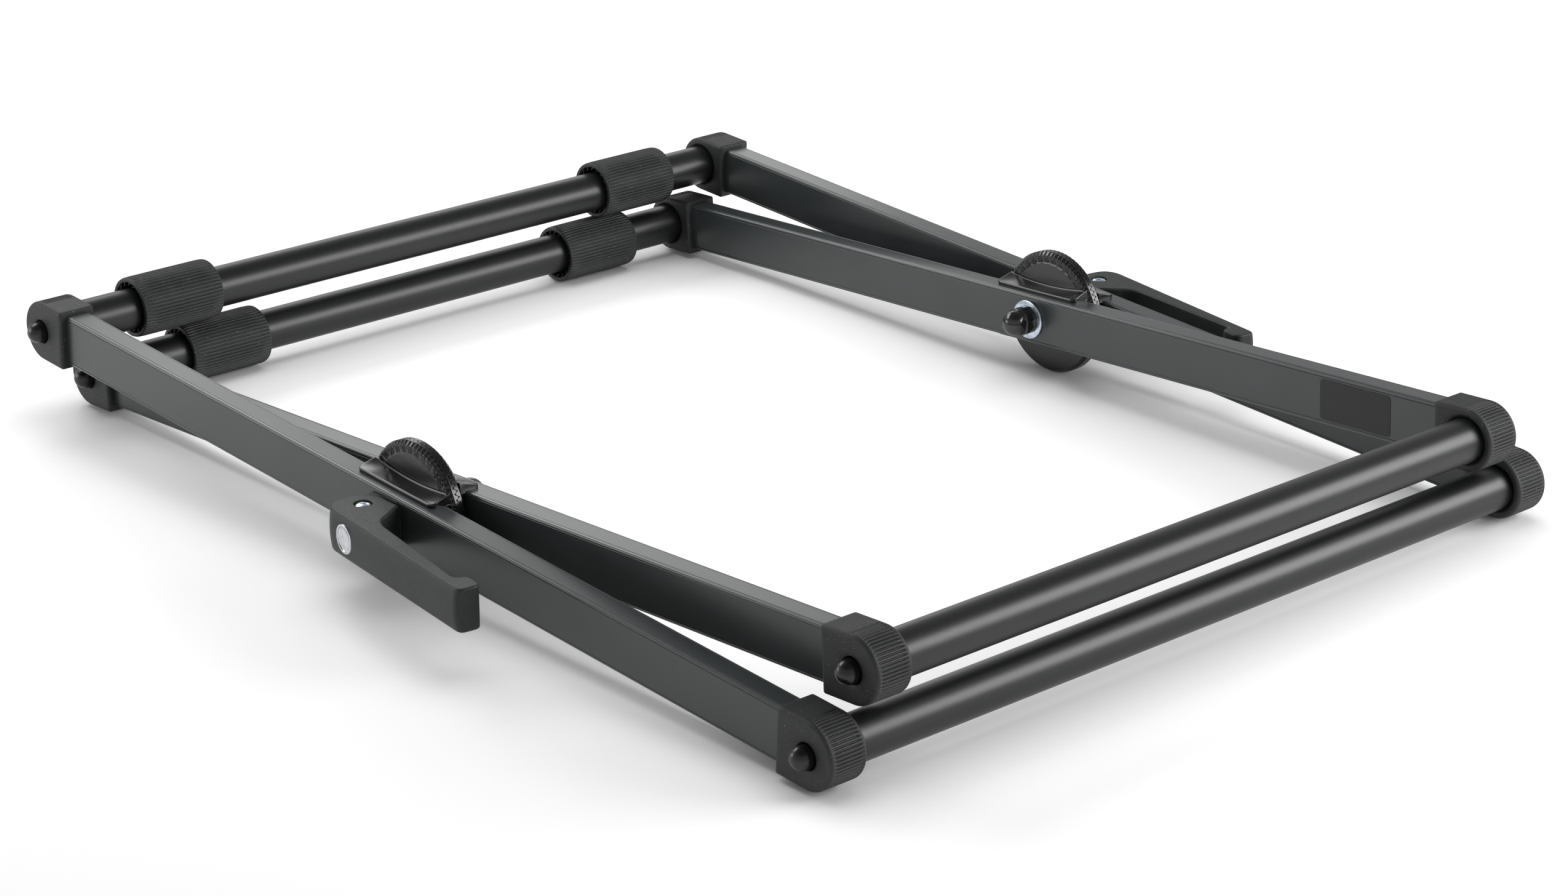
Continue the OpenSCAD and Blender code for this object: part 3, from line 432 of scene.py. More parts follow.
# A sleeve is a closed wall profile swept round: ribs outside that fade into a plain ring at
# each end, a plain bore inside. Its fins are slanted blades between the bore and the tube.
def makeSleeve():
    half, height, bore, rounding = sleeve["length"] / 2, sleeve["ribHeight"], sleeve["bore"], sleeve["endRound"]
    angle = np.linspace(0, 2 * np.pi, sleeve["ribs"] * sleeve["pointsPerRib"], endpoint=False)
    ends, inside = np.array(sleeve["endRows"]), half - sleeve["firstRow"]
    outerY = np.concatenate([ends - half, np.linspace(-inside, inside, sleeve["rows"]), half - ends[::-1]])
    fromEnd = half - np.abs(outerY)
    roundOff = rounding - np.sqrt(np.maximum(rounding ** 2 - np.maximum(rounding - fromEnd, 0) ** 2, 0))
    ribbed = ramp(fromEnd, sleeve["endRing"] - sleeve["ringFade"], sleeve["endRing"])
    wave = height - sleeve["ribDepth"] * ribWave(angle / (2 * np.pi) * sleeve["ribs"])
    outer = (sleeve["radius"] - height - roundOff)[:, None] + ribbed[:, None] * wave
    innerY = np.array([half - 0.02, half - 0.5, 0, -half + 0.5, -half + 0.02])
    innerR = bore + sleeve["boreFlare"] * np.array([1, 0, 0, 0, 1])
    radius = np.concatenate([outer, innerR[:, None] + 0 * angle])
    y = np.concatenate([outerY, innerY])[:, None] + 0 * angle
    shells = [loft(np.stack([radius * np.cos(angle), y, radius * np.sin(angle)], -1), wrap=True)]
    t = np.linspace(0, 1, 5)
    spine = sleeve["finTip"] + (bore + sleeve["finRoot"] - sleeve["finTip"]) * t
    lean = np.radians(sleeve["finSlant"]) * (1 - t) ** 1.5
    width = sleeve["finThickness"] / 2 * (0.6 + 0.4 * t) / spine
    edge = np.concatenate([np.stack([spine, lean - width], -1), np.stack([spine, lean + width], -1)[::-1]])
    for i in range(sleeve["fins"]):
        a = edge[:, 1] + 2 * np.pi * (i + 0.5) / sleeve["fins"]
        y = np.array([-half + sleeve["finInset"], half - sleeve["finInset"]])[:, None] + 0 * a
        shells.append(loft(np.stack([edge[:, 0] * np.cos(a) + 0 * y, y, edge[:, 0] * np.sin(a) + 0 * y], -1)))
    return shells


sleeveShells = makeSleeve()
axisX = -stand["legReach"] * np.cos(np.radians(stand["tilt"]))
axisZ = stand["legReach"] * np.sin(np.radians(stand["tilt"]))
for side, sign in (("near", -1), ("far", 1)):
    for level, y, z in (("upper", stand["upperSleeveY"], axisZ + stand["sleeveRise"]),
                        ("lower", stand["lowerSleeveY"], -axisZ - stand["sleeveRise"])):
        shells = [(points + [axisX, sign * y, z] + pivot, quads, ends) for points, quads, ends in sleeveShells]
        makePiece(f"{side}{level.title()}Sleeve", shells, sleeveRubber, f"{side}_{level}_sleeve_body",
                  [f"{side}_{level}_sleeve"], sharp=60)
print("sleeves made")

disc = {
    "radius": 38.0, "width": 4.4, "bevelDrop": 1.8, "bevelWidth": 2.0, "web": 2.45, "bore": 5.1, "faceRow": 22.0,
    "teeth": 72, "toothHalf": 1.05, "toothGap": 0.12, "pointsPerTooth": 14,
    "band": 6.0, "floor": 2.0, "pocket": 8.7, "pocketDepth": 3.0,
    "blockDepth": 0.6, "blockStart": 15.0, "blockStop": 165.0, "blockFade": 2.0,
    "tickInner": 35.1, "tickHeight": 0.3, "groove": 0.45, "bandInner": 31.3, "bandDepth": 0.15, "scallop": 0.4,
    "zeroAngle": {"outer": 141.5, "inner": 146.5},      # where each dial's nought would stand, in degrees from +x
}
dial = {
    "step": 10, "last": 100, "radius": 33.3, "height": 3.6, "widest": 7.2, "squeeze": 0.8,
    "halfDepth": 0.14, "lift": 0.06,
}
saddle = {
    "half": 33.0, "reach": 9.9, "plate": 2.0, "corner": 3.0, "rampMiddle": 2.2, "rampEnd": 5.4, "bead": 0.7,
    "endLean": 0.03, "round": 0.5, "columns": 61, "endRows": (0, 0.1, 0.35, 0.8), "firstRow": 1.3,
    "topPoints": 12, "topStart": 0.9, "beadPoints": 9,
    "foot": ((0.45, 0), (0.45, 0.3), (0.1, 0.38), (0, 0.55)),           # inwards and up, round the lower edge
    "brow": ((0, 0.8), (0.1, 0.42), (0.34, 0.14), (0.62, 0.03)),        # inwards and down, round the upper edge
}
halfGap = disc["width"] + disc["web"]       # from the leg's face to the middle of a disc's teeth


# A disc is turned about its axis: z = 0 is the middle of its teeth and z = -width its flat face.
# The teeth are z = h (cos 72a + cos 216a / 20) / 1.05 with a the angle about the pivot when folded, and
# the facing disc has the same wave, so the two mesh. On the upper arc the bevel is cut into blocks
# with a tick at each block's end, and the dial's band is a shallow scalloped recess.
def makeDisc(tilt, wave):
    r, back, count = disc["radius"], -disc["width"], disc["teeth"] * disc["pointsPerTooth"]
    angle = np.arange(count) / count * 360
    phase = angle * disc["teeth"] / 360 % 1
    turn = np.radians(angle * disc["teeth"])
    front = wave * disc["toothHalf"] * (np.cos(turn) + np.cos(3 * turn) / 20) / 1.05 - disc["toothGap"] / 2
    start, stop, fade = disc["blockStart"], disc["blockStop"], disc["blockFade"]
    upper = ramp(angle, start - fade, start) * (1 - ramp(angle, stop, stop + fade))
    gap = upper * disc["blockDepth"] * (1 - ramp(np.abs(phase - 0.5) * 2, 0.14, 0.42))
    tick = upper * disc["tickHeight"] * (1 - ramp(np.minimum(phase, 1 - phase) * 2, 0.3, 0.5))
    face = back + upper * disc["bandDepth"]
    scallop = np.abs(np.sin(np.radians(180 / dial["step"] * (angle - disc["zeroAngle"]["outer"]))))
    step = disc["bandInner"] - disc["scallop"] * upper * scallop
    slopeStart, tickInner = r - disc["bevelDrop"], disc["tickInner"]
    rows = [(disc["bore"], back), (disc["faceRow"], back), (step - 0.6, back), (step - 0.15, back),
            (step + 0.1, face), (tickInner - 0.1, face), (tickInner + 0.1, face - tick),
            (slopeStart - 0.35, face - tick), (slopeStart - 0.1, face)]
    for t in (0.06, 0.3, 0.65, 0.97):
        rows.append((slopeStart + disc["bevelDrop"] * t - gap * min(4 * t, 1), back + disc["bevelWidth"] * t))
    rim, shoulder = r - upper * disc["groove"], back + disc["bevelWidth"]
    rows += [(rim, shoulder + 0.06), (rim, shoulder + 0.26), (r, shoulder + 0.34),
             (r, front - 0.5), (r, front - 0.14), (r - 0.12, front), (r - 0.5, front)]
    rows += [(inner, front) for inner in (r - 2, r - 4, r - disc["band"] + 0.25)]
    rows += [(r - disc["band"], -disc["floor"]), (disc["pocket"], -disc["floor"]),
             (disc["pocket"], -disc["pocketDepth"]), (disc["bore"], -disc["pocketDepth"])]
    radius = np.stack([row[0] + 0 * angle for row in rows])
    height = np.stack([row[1] + 0 * angle for row in rows])
    a = np.radians(angle + tilt)
    return np.stack([radius * np.cos(a), radius * np.sin(a), height], -1)


# The web is a flat block between the leg's face and the disc, with the bolt's bore through it
def makeWeb():
    x, z, r = saddle["half"], stand["legHeight"] / 2, 0.5
    outline = joinPoints(*[arc([sx * (x - r), sz * (z - r)], r, start, start + 90, 5)
                           for sx, sz, start in ((1, 1, 0), (-1, 1, 90), (-1, -1, 180), (1, -1, 270))])
    bore = disc["bore"] * outline / np.linalg.norm(outline, axis=1, keepdims=True)
    levels = ((bore, stand["seatGap"]), (outline, stand["seatGap"]),
              (outline, disc["web"] + 0.4), (bore, disc["web"] + 0.4))
    return np.stack([np.column_stack([plan, np.full(len(plan), y - halfGap)]) for plan, y in levels])


# Raised plain numbers 10 to 100, each the flat outline of a text with a thickness: its points
# about its own middle, its faces and its value
def makeNumbers():
    shells = []
    for value in range(dial["step"], dial["last"] + 1, dial["step"]):
        text = bpy.data.curves.new("dialNumber", "FONT")
        text.body, text.extrude, text.resolution_u = str(value), dial["halfDepth"], 2
        text.align_x, text.align_y = "CENTER", "CENTER"
        holder = addObject("dialNumber", text)
        mesh = bpy.data.meshes.new_from_object(holder.evaluated_get(bpy.context.evaluated_depsgraph_get()))
        points = np.empty(len(mesh.vertices) * 3)
        mesh.vertices.foreach_get("co", points)
        points = points.reshape(-1, 3)
        faces = [list(face.vertices) for face in mesh.polygons]
        bpy.data.objects.remove(holder)
        bpy.data.meshes.remove(mesh)
        tall = dial["height"] / np.ptp(points[:, 1])
        wide = min(tall * dial["squeeze"], dial["widest"] / np.ptp(points[:, 0]))
        middle = (points.max(0) + points.min(0)) / 2
        shells.append(((points - middle) * [wide, tall, 1], faces, value))
    return shells


numberShells = makeNumbers()


# A saddle's cross section at one place along the leg: a foot, a rounded outer edge, and a top that
# is ruled from the plate's height at the edge to a ridge along the disc's face,
# h = plate + (ridge(x) - plate) t, where ridge(x) = middle + R - sqrt(R^2 - x^2). A bead ends it.
def makeSaddle():
    half, reach, plate, corner = saddle["half"], saddle["reach"], saddle["plate"], saddle["corner"]
    web, bead, rounding = disc["web"], saddle["bead"], saddle["round"]
    rise = saddle["rampEnd"] - saddle["rampMiddle"]
    ridge = (half ** 2 + rise ** 2) / (2 * rise)
    ends, inside = np.array(saddle["endRows"]), half - saddle["firstRow"]
    x = np.concatenate([ends - half, np.linspace(-inside, inside, saddle["columns"]), half - ends[::-1]])
    rim = np.maximum(rounding - (half - np.abs(x)), 0)
    drop = (rounding - np.sqrt(np.maximum(rounding ** 2 - rim ** 2, 0)))[:, None]      # rounds the two end edges
    beyond = np.clip(np.abs(x) - (half - corner), 0, corner)
    outer = corner - reach - np.sqrt(corner ** 2 - beyond ** 2)
    share = np.linspace(0, 1, saddle["topPoints"])
    start = outer[:, None] + saddle["topStart"]
    y = start + (web - 2 * bead - start) * share
    across = web - bead + bead * np.cos(np.radians(np.linspace(172, 20, saddle["beadPoints"])))
    swell = 0.8 * bead * np.sin(np.radians(np.linspace(8, 160, saddle["beadPoints"])))
    lift = np.concatenate([0 * share, swell, [0.1]])
    y = np.concatenate([y, np.tile(np.append(across, web + 0.4), (len(x), 1))], 1)
    t = np.clip((y + reach) / (reach + web), 0, 1)
    height = saddle["rampMiddle"] + ridge - np.sqrt(ridge ** 2 - x[:, None] ** 2)
    top = plate + (height - plate) * t + lift * (1 - ramp(np.abs(x), half - 4, half))[:, None]
    edge = [np.stack([outer + inwards, 0 * x + up], -1) for inwards, up in saddle["foot"]]
    edge += [np.stack([outer + inwards, top[:, 0] - down], -1) for inwards, down in saddle["brow"]]
    inner = np.stack([y[:, -1], 0 * x], -1)[:, None]
    section = np.concatenate([np.stack(edge, 1), np.stack([y, top], -1), inner], 1)
    wide, raised = section[..., 0], section[..., 1]
    raised = np.where(raised > 0.5, np.maximum(raised - drop, 0.5), raised)
    wide = wide + drop * (wide < -1)
    lean = saddle["endLean"] * np.clip((wide + reach) / (reach + web), 0, 1) * np.clip(raised / 3, 0, 1)
    return np.stack([x[:, None] * (1 - lean), wide, raised + stand["legHeight"] / 2], -1)


saddleRings = makeSaddle()
for side in ("near", "far"):
    for frameName, legY, tilt in frameRows:
        towards = 1 if frameName == "outer" else -1         # which way the teeth face, from the leg
        seat = towards * stand["legThickness"] / 2 - legY
        placeOn = lambda p: np.stack([p[..., 0], seat + towards * (p[..., 2] + halfGap), p[..., 1]], -1)
        shells = [loft(onFrame(placeOn(rings), tilt, side), wrap=True)
                  for rings in (makeDisc(tilt, towards), makeWeb())]
        for up in (1, -1):
            shells.append(loft(onFrame(saddleRings * [1, towards, up] + [0, seat, 0], tilt, side)))
        makePiece(f"{side}{frameName.title()}Disc", shells, discAbs, f"{frameName}_frame",
                  [f"{side}_{frameName}_disc"], sharp=50)
        facesAway = (side == "far") == (frameName == "outer")        # its flat face looks towards +y
        zero = disc["zeroAngle"][frameName]
        points, faces, offset = [], [], 0
        for shape, shapeFaces, value in numberShells:
            place = 180 - zero + value if facesAway else zero - value
            local = shape * [-1 if facesAway else 1, 1, 1] + [0, dial["radius"], dial["lift"] - disc["width"]]
            a = np.radians(place + tilt - 90)
            turned = np.stack([local[:, 0] * np.cos(a) - local[:, 1] * np.sin(a),
                               local[:, 0] * np.sin(a) + local[:, 1] * np.cos(a), local[:, 2]], -1)
            points.append(onFrame(placeOn(turned), tilt, side) / 1000)
            faces += [[v + offset for v in face[::-1]] for face in shapeFaces]
            offset += len(shape)
        mesh = bpy.data.meshes.new(f"{side}{frameName.title()}Numbers")
        mesh.from_pydata(np.concatenate(points).tolist(), [], faces)
        mesh.materials.append(discAbs)
        numbers = addObject(mesh.name, mesh)
        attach(numbers, f"{frameName}_frame")
print("toothed discs made")

clamp = {
    "washerRadius": 12.0, "washerThickness": 1.6, "washerBore": 5.05, "nutFlats": 17.0, "nutHex": 8.0,
    "nutHeight": 18.0, "nutBevel": 0.3, "bevelAngle": 60.0, "nutShoulder": 0.7, "nutRound": 8.95, "nutFlange": 0.9,
}


# A nut's radius is the smallest of a hexagon, a round limit that softens its corners and a bevel
# cone, and its dome is turned.
def makeNut():
    angle = np.linspace(0, 2 * np.pi, 180, endpoint=False)
    halfFlats, top = clamp["nutFlats"] / 2, clamp["nutHex"]
    hexagon = halfFlats / np.cos((angle + np.pi / 6) % (np.pi / 3) - np.pi / 6)
    z = np.concatenate([[0.0, 0.15], np.linspace(0.3, top - 1.2, 4), np.linspace(top - 1.0, top, 8)])
    cone = halfFlats - clamp["nutBevel"] + (top - z) * np.tan(np.radians(clamp["bevelAngle"]))
    foot = np.where(z < 0.3, halfFlats + clamp["nutFlange"] + z * 3, np.inf)
    side = np.minimum(np.minimum(hexagon, clamp["nutRound"]), np.minimum(cone, foot)[:, None])
    r = halfFlats - clamp["nutShoulder"]
    crown = joinPoints([[r + 0.25, top], [r, top + 0.3]], arc([0, clamp["nutHeight"] - r], r, 0, 89, 18))
    radius = np.concatenate([side, crown[:, :1] + 0 * angle])
    height = np.concatenate([z, crown[:, 1]])[:, None] + 0 * angle
    return np.stack([radius * np.cos(angle), radius * np.sin(angle), height], -1)


def makeWasher():
    r, t, bore = clamp["washerRadius"], clamp["washerThickness"], clamp["washerBore"]
    profile = [[bore, stand["seatGap"]], [r - 0.2, stand["seatGap"]], [r, 0.2], [r, t - 0.3], [r - 0.1, t - 0.1],
               [r - 0.3, t], [bore + 0.2, t], [bore, t - 0.2]]
    return lathe(profile, 96)


innerFace = -(stand["innerLegY"] - stand["legThickness"] / 2)
for side in ("near", "far"):
    for label, node, rings, finish, slotName, start in (
            ("Nut", "clamp_nut", makeNut(), nutBlack, "black_nut", clamp["washerThickness"]),
            ("Washer", "washer", makeWasher(), zincPlate, "zinc_steel", 0)):
        placed = np.stack([rings[..., 0], innerFace + start + rings[..., 2], rings[..., 1]], -1)
        makePiece(f"{side}Clamp{label}", [loft(onFrame(placed, 0, side), wrap=label == "Washer")], finish,
                  "outer_frame", [f"{side}_{node}"], sharp=30)
print("nuts and washers made")

lever = {
    "height": 24.0, "out": 18.8, "crown": 1.6, "tip": 130.0, "camRadius": 12.9, "lobeOffset": 12.0, "lobeRadius": 2.0,
    "armRoot": 12.5, "armNeck": 8.3, "tipThickness": 15.0, "tipLip": 15.0, "tipRound": 5.0,
    "hollowStart": 22.0, "hollowEnd": 38.0, "edge": 1.3, "topInset": 0.4, "crownBlend": 6.0, "pitch": 0.9,
    "slotHalf": 5.3, "slotSide": 8.6, "slotBack": 12.5, "slotRound": 2.0, "holePoints": 48,
    "pinHole": ((5.7, 0), (5.25, 0), (5.06, 0.12), (5.0, 0.4), (5.0, 1.8)),      # radius and depth of its rings
}
pin = {
    "radius": 4.4, "neck": 3.0, "dome": 1.2, "columns": 96,
    "crossLength": 5.3, "crossWidth": 1.1, "crossDepth": 0.9, "crossTurn": 20.0,
}
badge = {"radius": 8.2, "thickness": 1.4, "x": 12.0, "rim": 1.2, "seat": 7.3, "proud": 0.05, "columns": 72}


# A lever's plan: cam, lobe, hollow, tapering arm, lipped tip, straight outer face, round back
def leverOutline():
    out, tip = -lever["out"], lever["tip"]
    root, neck, lip = out + lever["armRoot"], out + lever["armNeck"], out + lever["tipThickness"]
    lipStart, r = tip - lever["tipLip"], lever["tipRound"]
    hs, he, lobe = lever["hollowStart"], lever["hollowEnd"], lever["lobeOffset"]
    return joinPoints(
        arc([0, 0], lever["camRadius"], 180, 90, 20), arc([lobe, lobe], lever["lobeRadius"], 90, 0, 8),
        bend([hs, (lobe + root) / 3], [hs + (he - hs) / 4, root], [he, root], 14),
        bend([lipStart - r, neck], [lipStart, neck], [lipStart, (neck + lip) / 2], 8),
        bend([lipStart, (neck + lip) / 2], [lipStart, lip], [lipStart + r, lip], 8),
        bend([tip - r, lip], [tip, lip], [tip, lip - r], 8), bend([tip, out + r], [tip, out], [tip - r, out], 8),
        arc([0, out + lever["camRadius"]], lever["camRadius"], 270, 180, 16))


# A lever is three slabs of that plan: whole above and below, and cut back round the slot that
# the bolt's eye needs between them. Rings are inset near the top and bottom to round the edges,
# and every ring's outer side is pulled in by the square of its height to crown the outer face.
def makeLever():
    half, edge, slot, s = lever["height"] / 2, lever["edge"], lever["slotHalf"], lever["slotSide"]
    crownRadius = (half ** 2 + lever["crown"] ** 2) / (2 * lever["crown"])
    outline = leverOutline()
    whole = respace(outline, lever["pitch"])
    inSlot = (outline[:, 0] < s) & (outline[:, 1] > -s)
    first = np.flatnonzero(inSlot)[-1] + 1
    kept = np.roll(outline, -first, 0)[~np.roll(inSlot, -first)]
    lobeTop = lever["lobeOffset"] + lever["lobeRadius"]
    entry = [[s, np.interp(s, [0, lever["lobeOffset"]], [lever["camRadius"], lobeTop])]]
    inward = s - lever["slotRound"]
    cut = respace(joinPoints(entry, kept, [[-lever["slotBack"], -s], [inward, -s]],
                             arc([inward, -inward], lever["slotRound"], 270, 360, 5)), lever["pitch"])

    def slab(plan, levels):
        rings = []
        for z, amount in levels:
            ring = inset(plan, amount)
            pull = crownRadius - np.sqrt(crownRadius ** 2 - z ** 2)
            share = np.clip((-ring[:, 1] - lever["out"] + lever["crownBlend"]) / lever["crownBlend"], 0, 1)
            nearBadge = (ring[:, 0] - badge["x"]) ** 2 + z ** 2 < badge["seat"] ** 2
            deeper = share * nearBadge     # a hollow, 1 mm deep, that the badge covers
            rings.append(np.stack([ring[:, 0], ring[:, 1] + pull * share + deeper, np.full(len(ring), z)], -1))
        return np.array(rings)

    # Opens a slab's flat end round the pin: the face becomes two halves that meet at x = 0, and a
    # round counterbore goes down to the pin's head
    def openForPin(shell):
        points, quads, ends = shell
        ring = ends[-1]
        ahead = np.flatnonzero(points[ring, 0] >= 0)
        first, last = ahead[0], ahead[-1]
        toEnd = np.sign(points[ring[0], 2])
        rows, count = len(lever["pinHole"]), lever["holePoints"]
        angle = np.radians(-90 + 360 / count * np.arange(count))
        circles = [np.stack([r * np.cos(angle), r * np.sin(angle), 0 * angle + toEnd * (half - depth)], -1)
                   for r, depth in lever["pinHole"]]
        index = len(points) + np.arange(rows * count).reshape(rows, count)
        upper, lower = index[:-1], index[1:]
        walls = np.stack([np.roll(upper, -1, 1), upper, lower, np.roll(lower, -1, 1)], -1).reshape(-1, 4)
        mouth, middle = index[0], count // 2
        halves = [np.concatenate([ring[first:last + 1], mouth[:middle + 1]]),
                  np.concatenate([ring[last:], ring[:first + 1], mouth[middle:], mouth[:1]])]
        return (np.concatenate([points] + circles), np.concatenate([quads, walls]),
                ends[:-1] + halves + [index[-1][::-1]])

    quarter = np.radians(np.linspace(0, 90, 6))
    upper = [(z, 0) for z in np.linspace(slot, half - edge, 5)[:-1]]
    upper += [(half - edge * (1 - np.sin(a)), edge * (1 - np.cos(a))) for a in quarter]
    upper += [(half, edge + lever["topInset"])]
    lower = [(-z, amount) for z, amount in upper]
    return [openForPin(loft(slab(whole, upper))), openForPin(loft(slab(whole, lower))),
            loft(slab(cut, [(z, 0) for z in np.linspace(-slot, slot, 9)]))]


# A pin's upper part is a stem and a low domed head, lowered inside a cross. Its foot is a plain head.
def makePin():
    half, r, neck = lever["height"] / 2, pin["radius"], pin["neck"]
    t = np.linspace(0, np.pi / 2, 30)
    crown = np.stack([r * np.cos(t) * 0.999 + 0.004, half - pin["dome"] + pin["dome"] * np.sin(t)], -1)
    stem = [[neck, -half + 2.2], [neck, half - 2.2], [r - 0.4, half - 2.1], [r, half - 1.4]]
    rings = lathe(joinPoints(stem, crown), pin["columns"])
    x, y = rings[..., 0], rings[..., 1]
    a = np.radians(pin["crossTurn"])
    u, v = np.abs(x * np.cos(a) + y * np.sin(a)), np.abs(-x * np.sin(a) + y * np.cos(a))
    length, width = pin["crossLength"] / 2, pin["crossWidth"] / 2
    arm = lambda p, q: (1 - ramp(p, length - 0.5, length)) * (1 - ramp(q, width - 0.2, width + 0.25))
    rings[..., 2] -= pin["crossDepth"] * np.maximum(arm(u, v), arm(v, u)) * (rings[..., 2] > half - 1.3)
    foot = lathe([[r - 0.5, -half + 0.1], [r, -half + 0.6], [r, -half + 1.9], [neck, -half + 2.1]], 64)
    return [loft(rings), loft(foot)]


# A badge is turned: a raised rim, a ring groove and a low domed field, all bare
def makeBadge():
    r, t, seat = badge["radius"], badge["thickness"], stand["seatGap"]
    field = r - badge["rim"]
    profile = [[0.01, seat], [r, seat], [r, t - 0.35], [r - 0.12, t - 0.1], [r - 0.4, t], [field, t],
               [field - 0.2, t - 0.4], [field - 0.7, t - 0.42], [field - 1.0, t - 0.12],
               [field - 1.15, t - 0.1], [field - 1.3, t - 0.1], [4.5, t - 0.08], [3.0, t - 0.05],
               [1.5, t - 0.02], [0.01, t - 0.01]]
    rings = lathe(profile, badge["columns"])
    outFace = t - badge["proud"] - lever["out"]
    return [loft(np.stack([rings[..., 0] + badge["x"], outFace - rings[..., 2], rings[..., 1]], -1))]


# Turns a lever's points about its pin by its swing, and moves them to the pin's place
def atPin(shells, side, swing):
    a = np.radians(-swing)
    turn = np.array([[np.cos(a), np.sin(a), 0], [-np.sin(a), np.cos(a), 0], [0, 0, 1]])
    flip = [1, 1 if side == "near" else -1, 1]
    place = jointPlace[f"{side}_lever_swing"]
    return [(points @ turn * flip + place, quads, ends) for points, quads, ends in shells]


for side, swing in (("near", stand["nearSwing"]), ("far", stand["farSwing"])):
    body = f"{side}_lever_body"
    makePiece(f"{side}CamLever", atPin(makeLever(), side, swing), leverNylon, body, [f"{side}_lever"],
              sharp=50)
    makePiece(f"{side}LeverPin", atPin(makePin(), side, swing), zincPlate, body, [f"{side}_lever_pin"],
              sharp=30)
    makePiece(f"{side}BareBadge", atPin(makeBadge(), side, swing), badgeChrome, body, [f"{side}_badge"],
              sharp=30)
print("levers made")

studio = {
    "floorHalf": 6.0, "paperGrain": 900.0, "paperTone": (0.93, 0.97),
    "fade": (0.6, 1.1),             # metres from the middle over which the floor gives way to white air
    "mirrored": (0.6, 0.12),        # air that glossy surfaces see, low down and overhead
    "mirroredRise": (0.5, 0.8),     # heights of a direction between which it goes from one to the other
    "fill": 0.30,                   # air that matt surfaces see
}
# Each lamp's place and aim in metres, its size, its power, and whether glossy surfaces mirror it
lamps = {
    "overheadSoftbox": ((-0.2, 0.2, 1.9), (0, 0, 0), (2.2, 1.8), 23.0, False),
    "rightBackPanel": ((1.26, 1.12, 0.70), (0, 0, 0), (1.2, 0.8), 24.0, True),
    "leftBackPanel": ((-1.75, 1.15, 0.80), (-0.2, 0, 0), (0.9, 0.7), 3.2, True),
    "leftSoftbox": ((-1.15, -0.15, 1.00), (0, 0, 0), (1.1, 0.45), 8.0, True),
    "leftFrontPanel": ((-1.05, -0.95, 0.30), (-0.2, 0, 0), (0.7, 0.45), 3.5, True),
}
# The camera's place and turn come from the photo's straight edges, solved with one camera
view = {
    "place": (1524.80, -1332.20, 750.58),      # from the pivot, in mm
    "right": (0.66396, 0.74776, -0.00239), "back": (0.69851, -0.61908, 0.35891),
    "lens": 86.51, "sensor": 36.0, "clip": (0.05, 50.0),
}


# Turns a lamp or camera so that it looks against back, with right to its right
def aimObject(holder, right, back, place):
    right = right / np.linalg.norm(right)
    back = back - right * (back @ right)
    back /= np.linalg.norm(back)
    matrix = np.eye(4)
    matrix[:3, :3] = np.stack([right, np.cross(back, right), back], axis=1)
    matrix[:3, 3] = place
    holder.matrix_world = Matrix(matrix.tolist())


# The floor is white paper that takes the stand's shadow. Past the lit area it turns clear.
floorPaper = bpy.data.materials.new("whiteStudioPaper")
floorPaper.use_nodes = True
floorPaper.node_tree.nodes.clear()
spot = addNode(floorPaper, "TexCoord", {}).outputs["Object"]
grain = addNode(floorPaper, "TexNoise", {"Scale": studio["paperGrain"], "Detail": 2.0}, {"Vector": spot})
tone = addNode(floorPaper, "MapRange", {"To Min": studio["paperTone"][0], "To Max": studio["paperTone"][1]},
               {"Value": grain.outputs["Fac"]})
paper = addNode(floorPaper, "BsdfDiffuse", {}, {"Color": tone.outputs["Result"]})
clear = addNode(floorPaper, "BsdfTransparent", {})
reach = addNode(floorPaper, "VectorMath", {"operation": "LENGTH"}, {0: spot})
fade = addNode(floorPaper, "MapRange", {
    "interpolation_type": "SMOOTHSTEP", "From Min": studio["fade"][0], "From Max": studio["fade"][1]},
    {"Value": reach.outputs["Value"]})
sheet = addNode(floorPaper, "MixShader", {}, {
    0: fade.outputs["Result"], 1: paper.outputs["BSDF"], 2: clear.outputs["BSDF"]})
addNode(floorPaper, "OutputMaterial", {}, {"Surface": sheet.outputs["Shader"]})
half = studio["floorHalf"]
floorMesh = bpy.data.meshes.new("studioFloor")
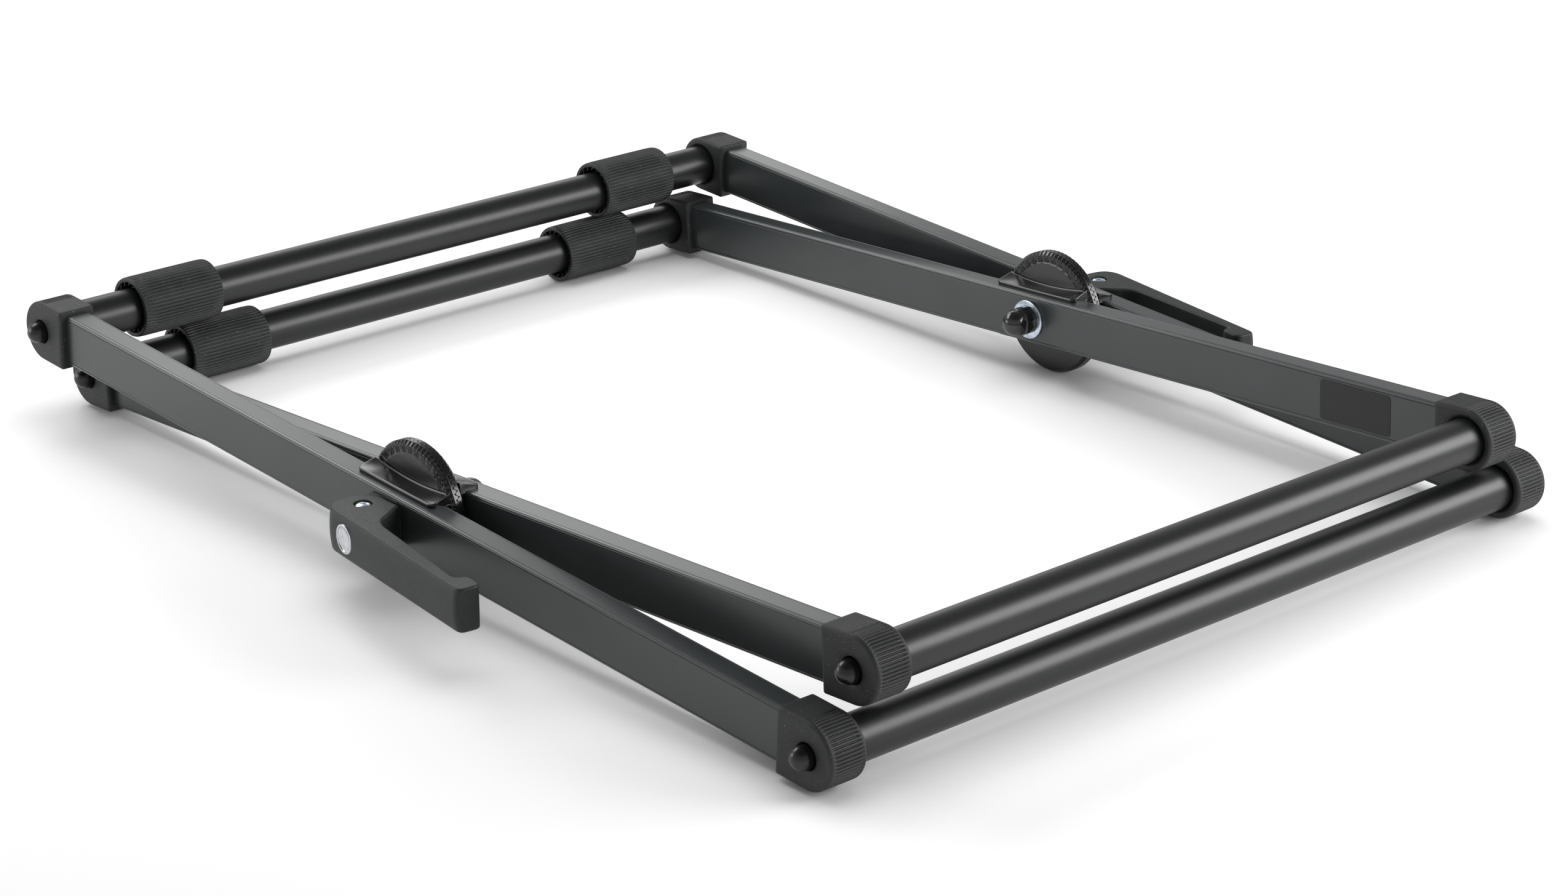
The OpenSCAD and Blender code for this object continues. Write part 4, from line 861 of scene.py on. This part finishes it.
floorMesh.from_pydata([(-half, -half, 0), (half, -half, 0), (half, half, 0), (-half, half, 0)], [], [(0, 1, 2, 3)])
floorMesh.materials.append(floorPaper)
addObject("studioFloor", floorMesh)

# The camera sees white. Glossy rays see white low down and a dim ceiling, diffuse rays a soft fill.
world = bpy.data.worlds.new("studioAir")
bpy.context.scene.world = world
world.use_nodes = True
world.node_tree.nodes.clear()
path = addNode(world, "LightPath", {})
direction = addNode(world, "TexCoord", {})
height = addNode(world, "SeparateXYZ", {}, {"Vector": direction.outputs["Generated"]})
ceiling = addNode(world, "MapRange", {
    "From Min": studio["mirroredRise"][0], "From Max": studio["mirroredRise"][1],
    "To Min": studio["mirrored"][0], "To Max": studio["mirrored"][1]}, {"Value": height.outputs["Z"]})
seen = addNode(world, "Math", {"operation": "MAXIMUM"}, {
    0: path.outputs["Is Camera Ray"], 1: path.outputs["Is Transmission Ray"]})
indirect = addNode(world, "Mix", {2: studio["fill"]}, {
    0: path.outputs["Is Glossy Ray"], 3: ceiling.outputs["Result"]})
strength = addNode(world, "Mix", {3: 1.0}, {0: seen.outputs[0], 2: indirect.outputs[0]})
air = addNode(world, "Background", {"Color": (1, 1, 1, 1)}, {"Strength": strength.outputs[0]})
addNode(world, "OutputWorld", {}, {"Surface": air.outputs[0]})

for name, (place, aim, size, power, mirrored) in lamps.items():
    light = bpy.data.lights.new(name, "AREA")
    light.shape, light.size, light.size_y, light.energy = "RECTANGLE", *size, power
    holder = addObject(name, light)
    holder.visible_glossy = mirrored
    back = np.array(place, float) - aim
    aimObject(holder, np.cross([0, 0, 1], back), back, place)

camera = bpy.data.cameras.new("photoCamera")
camera.lens, camera.sensor_width = view["lens"], view["sensor"]
camera.clip_start, camera.clip_end = view["clip"]
photoCamera = addObject("photoCamera", camera)
aimObject(photoCamera, np.array(view["right"]), np.array(view["back"]), (np.array(view["place"]) + pivot) / 1000)
bpy.context.scene.camera = photoCamera
bpy.context.scene.view_settings.view_transform = "Standard"
print("studio made")
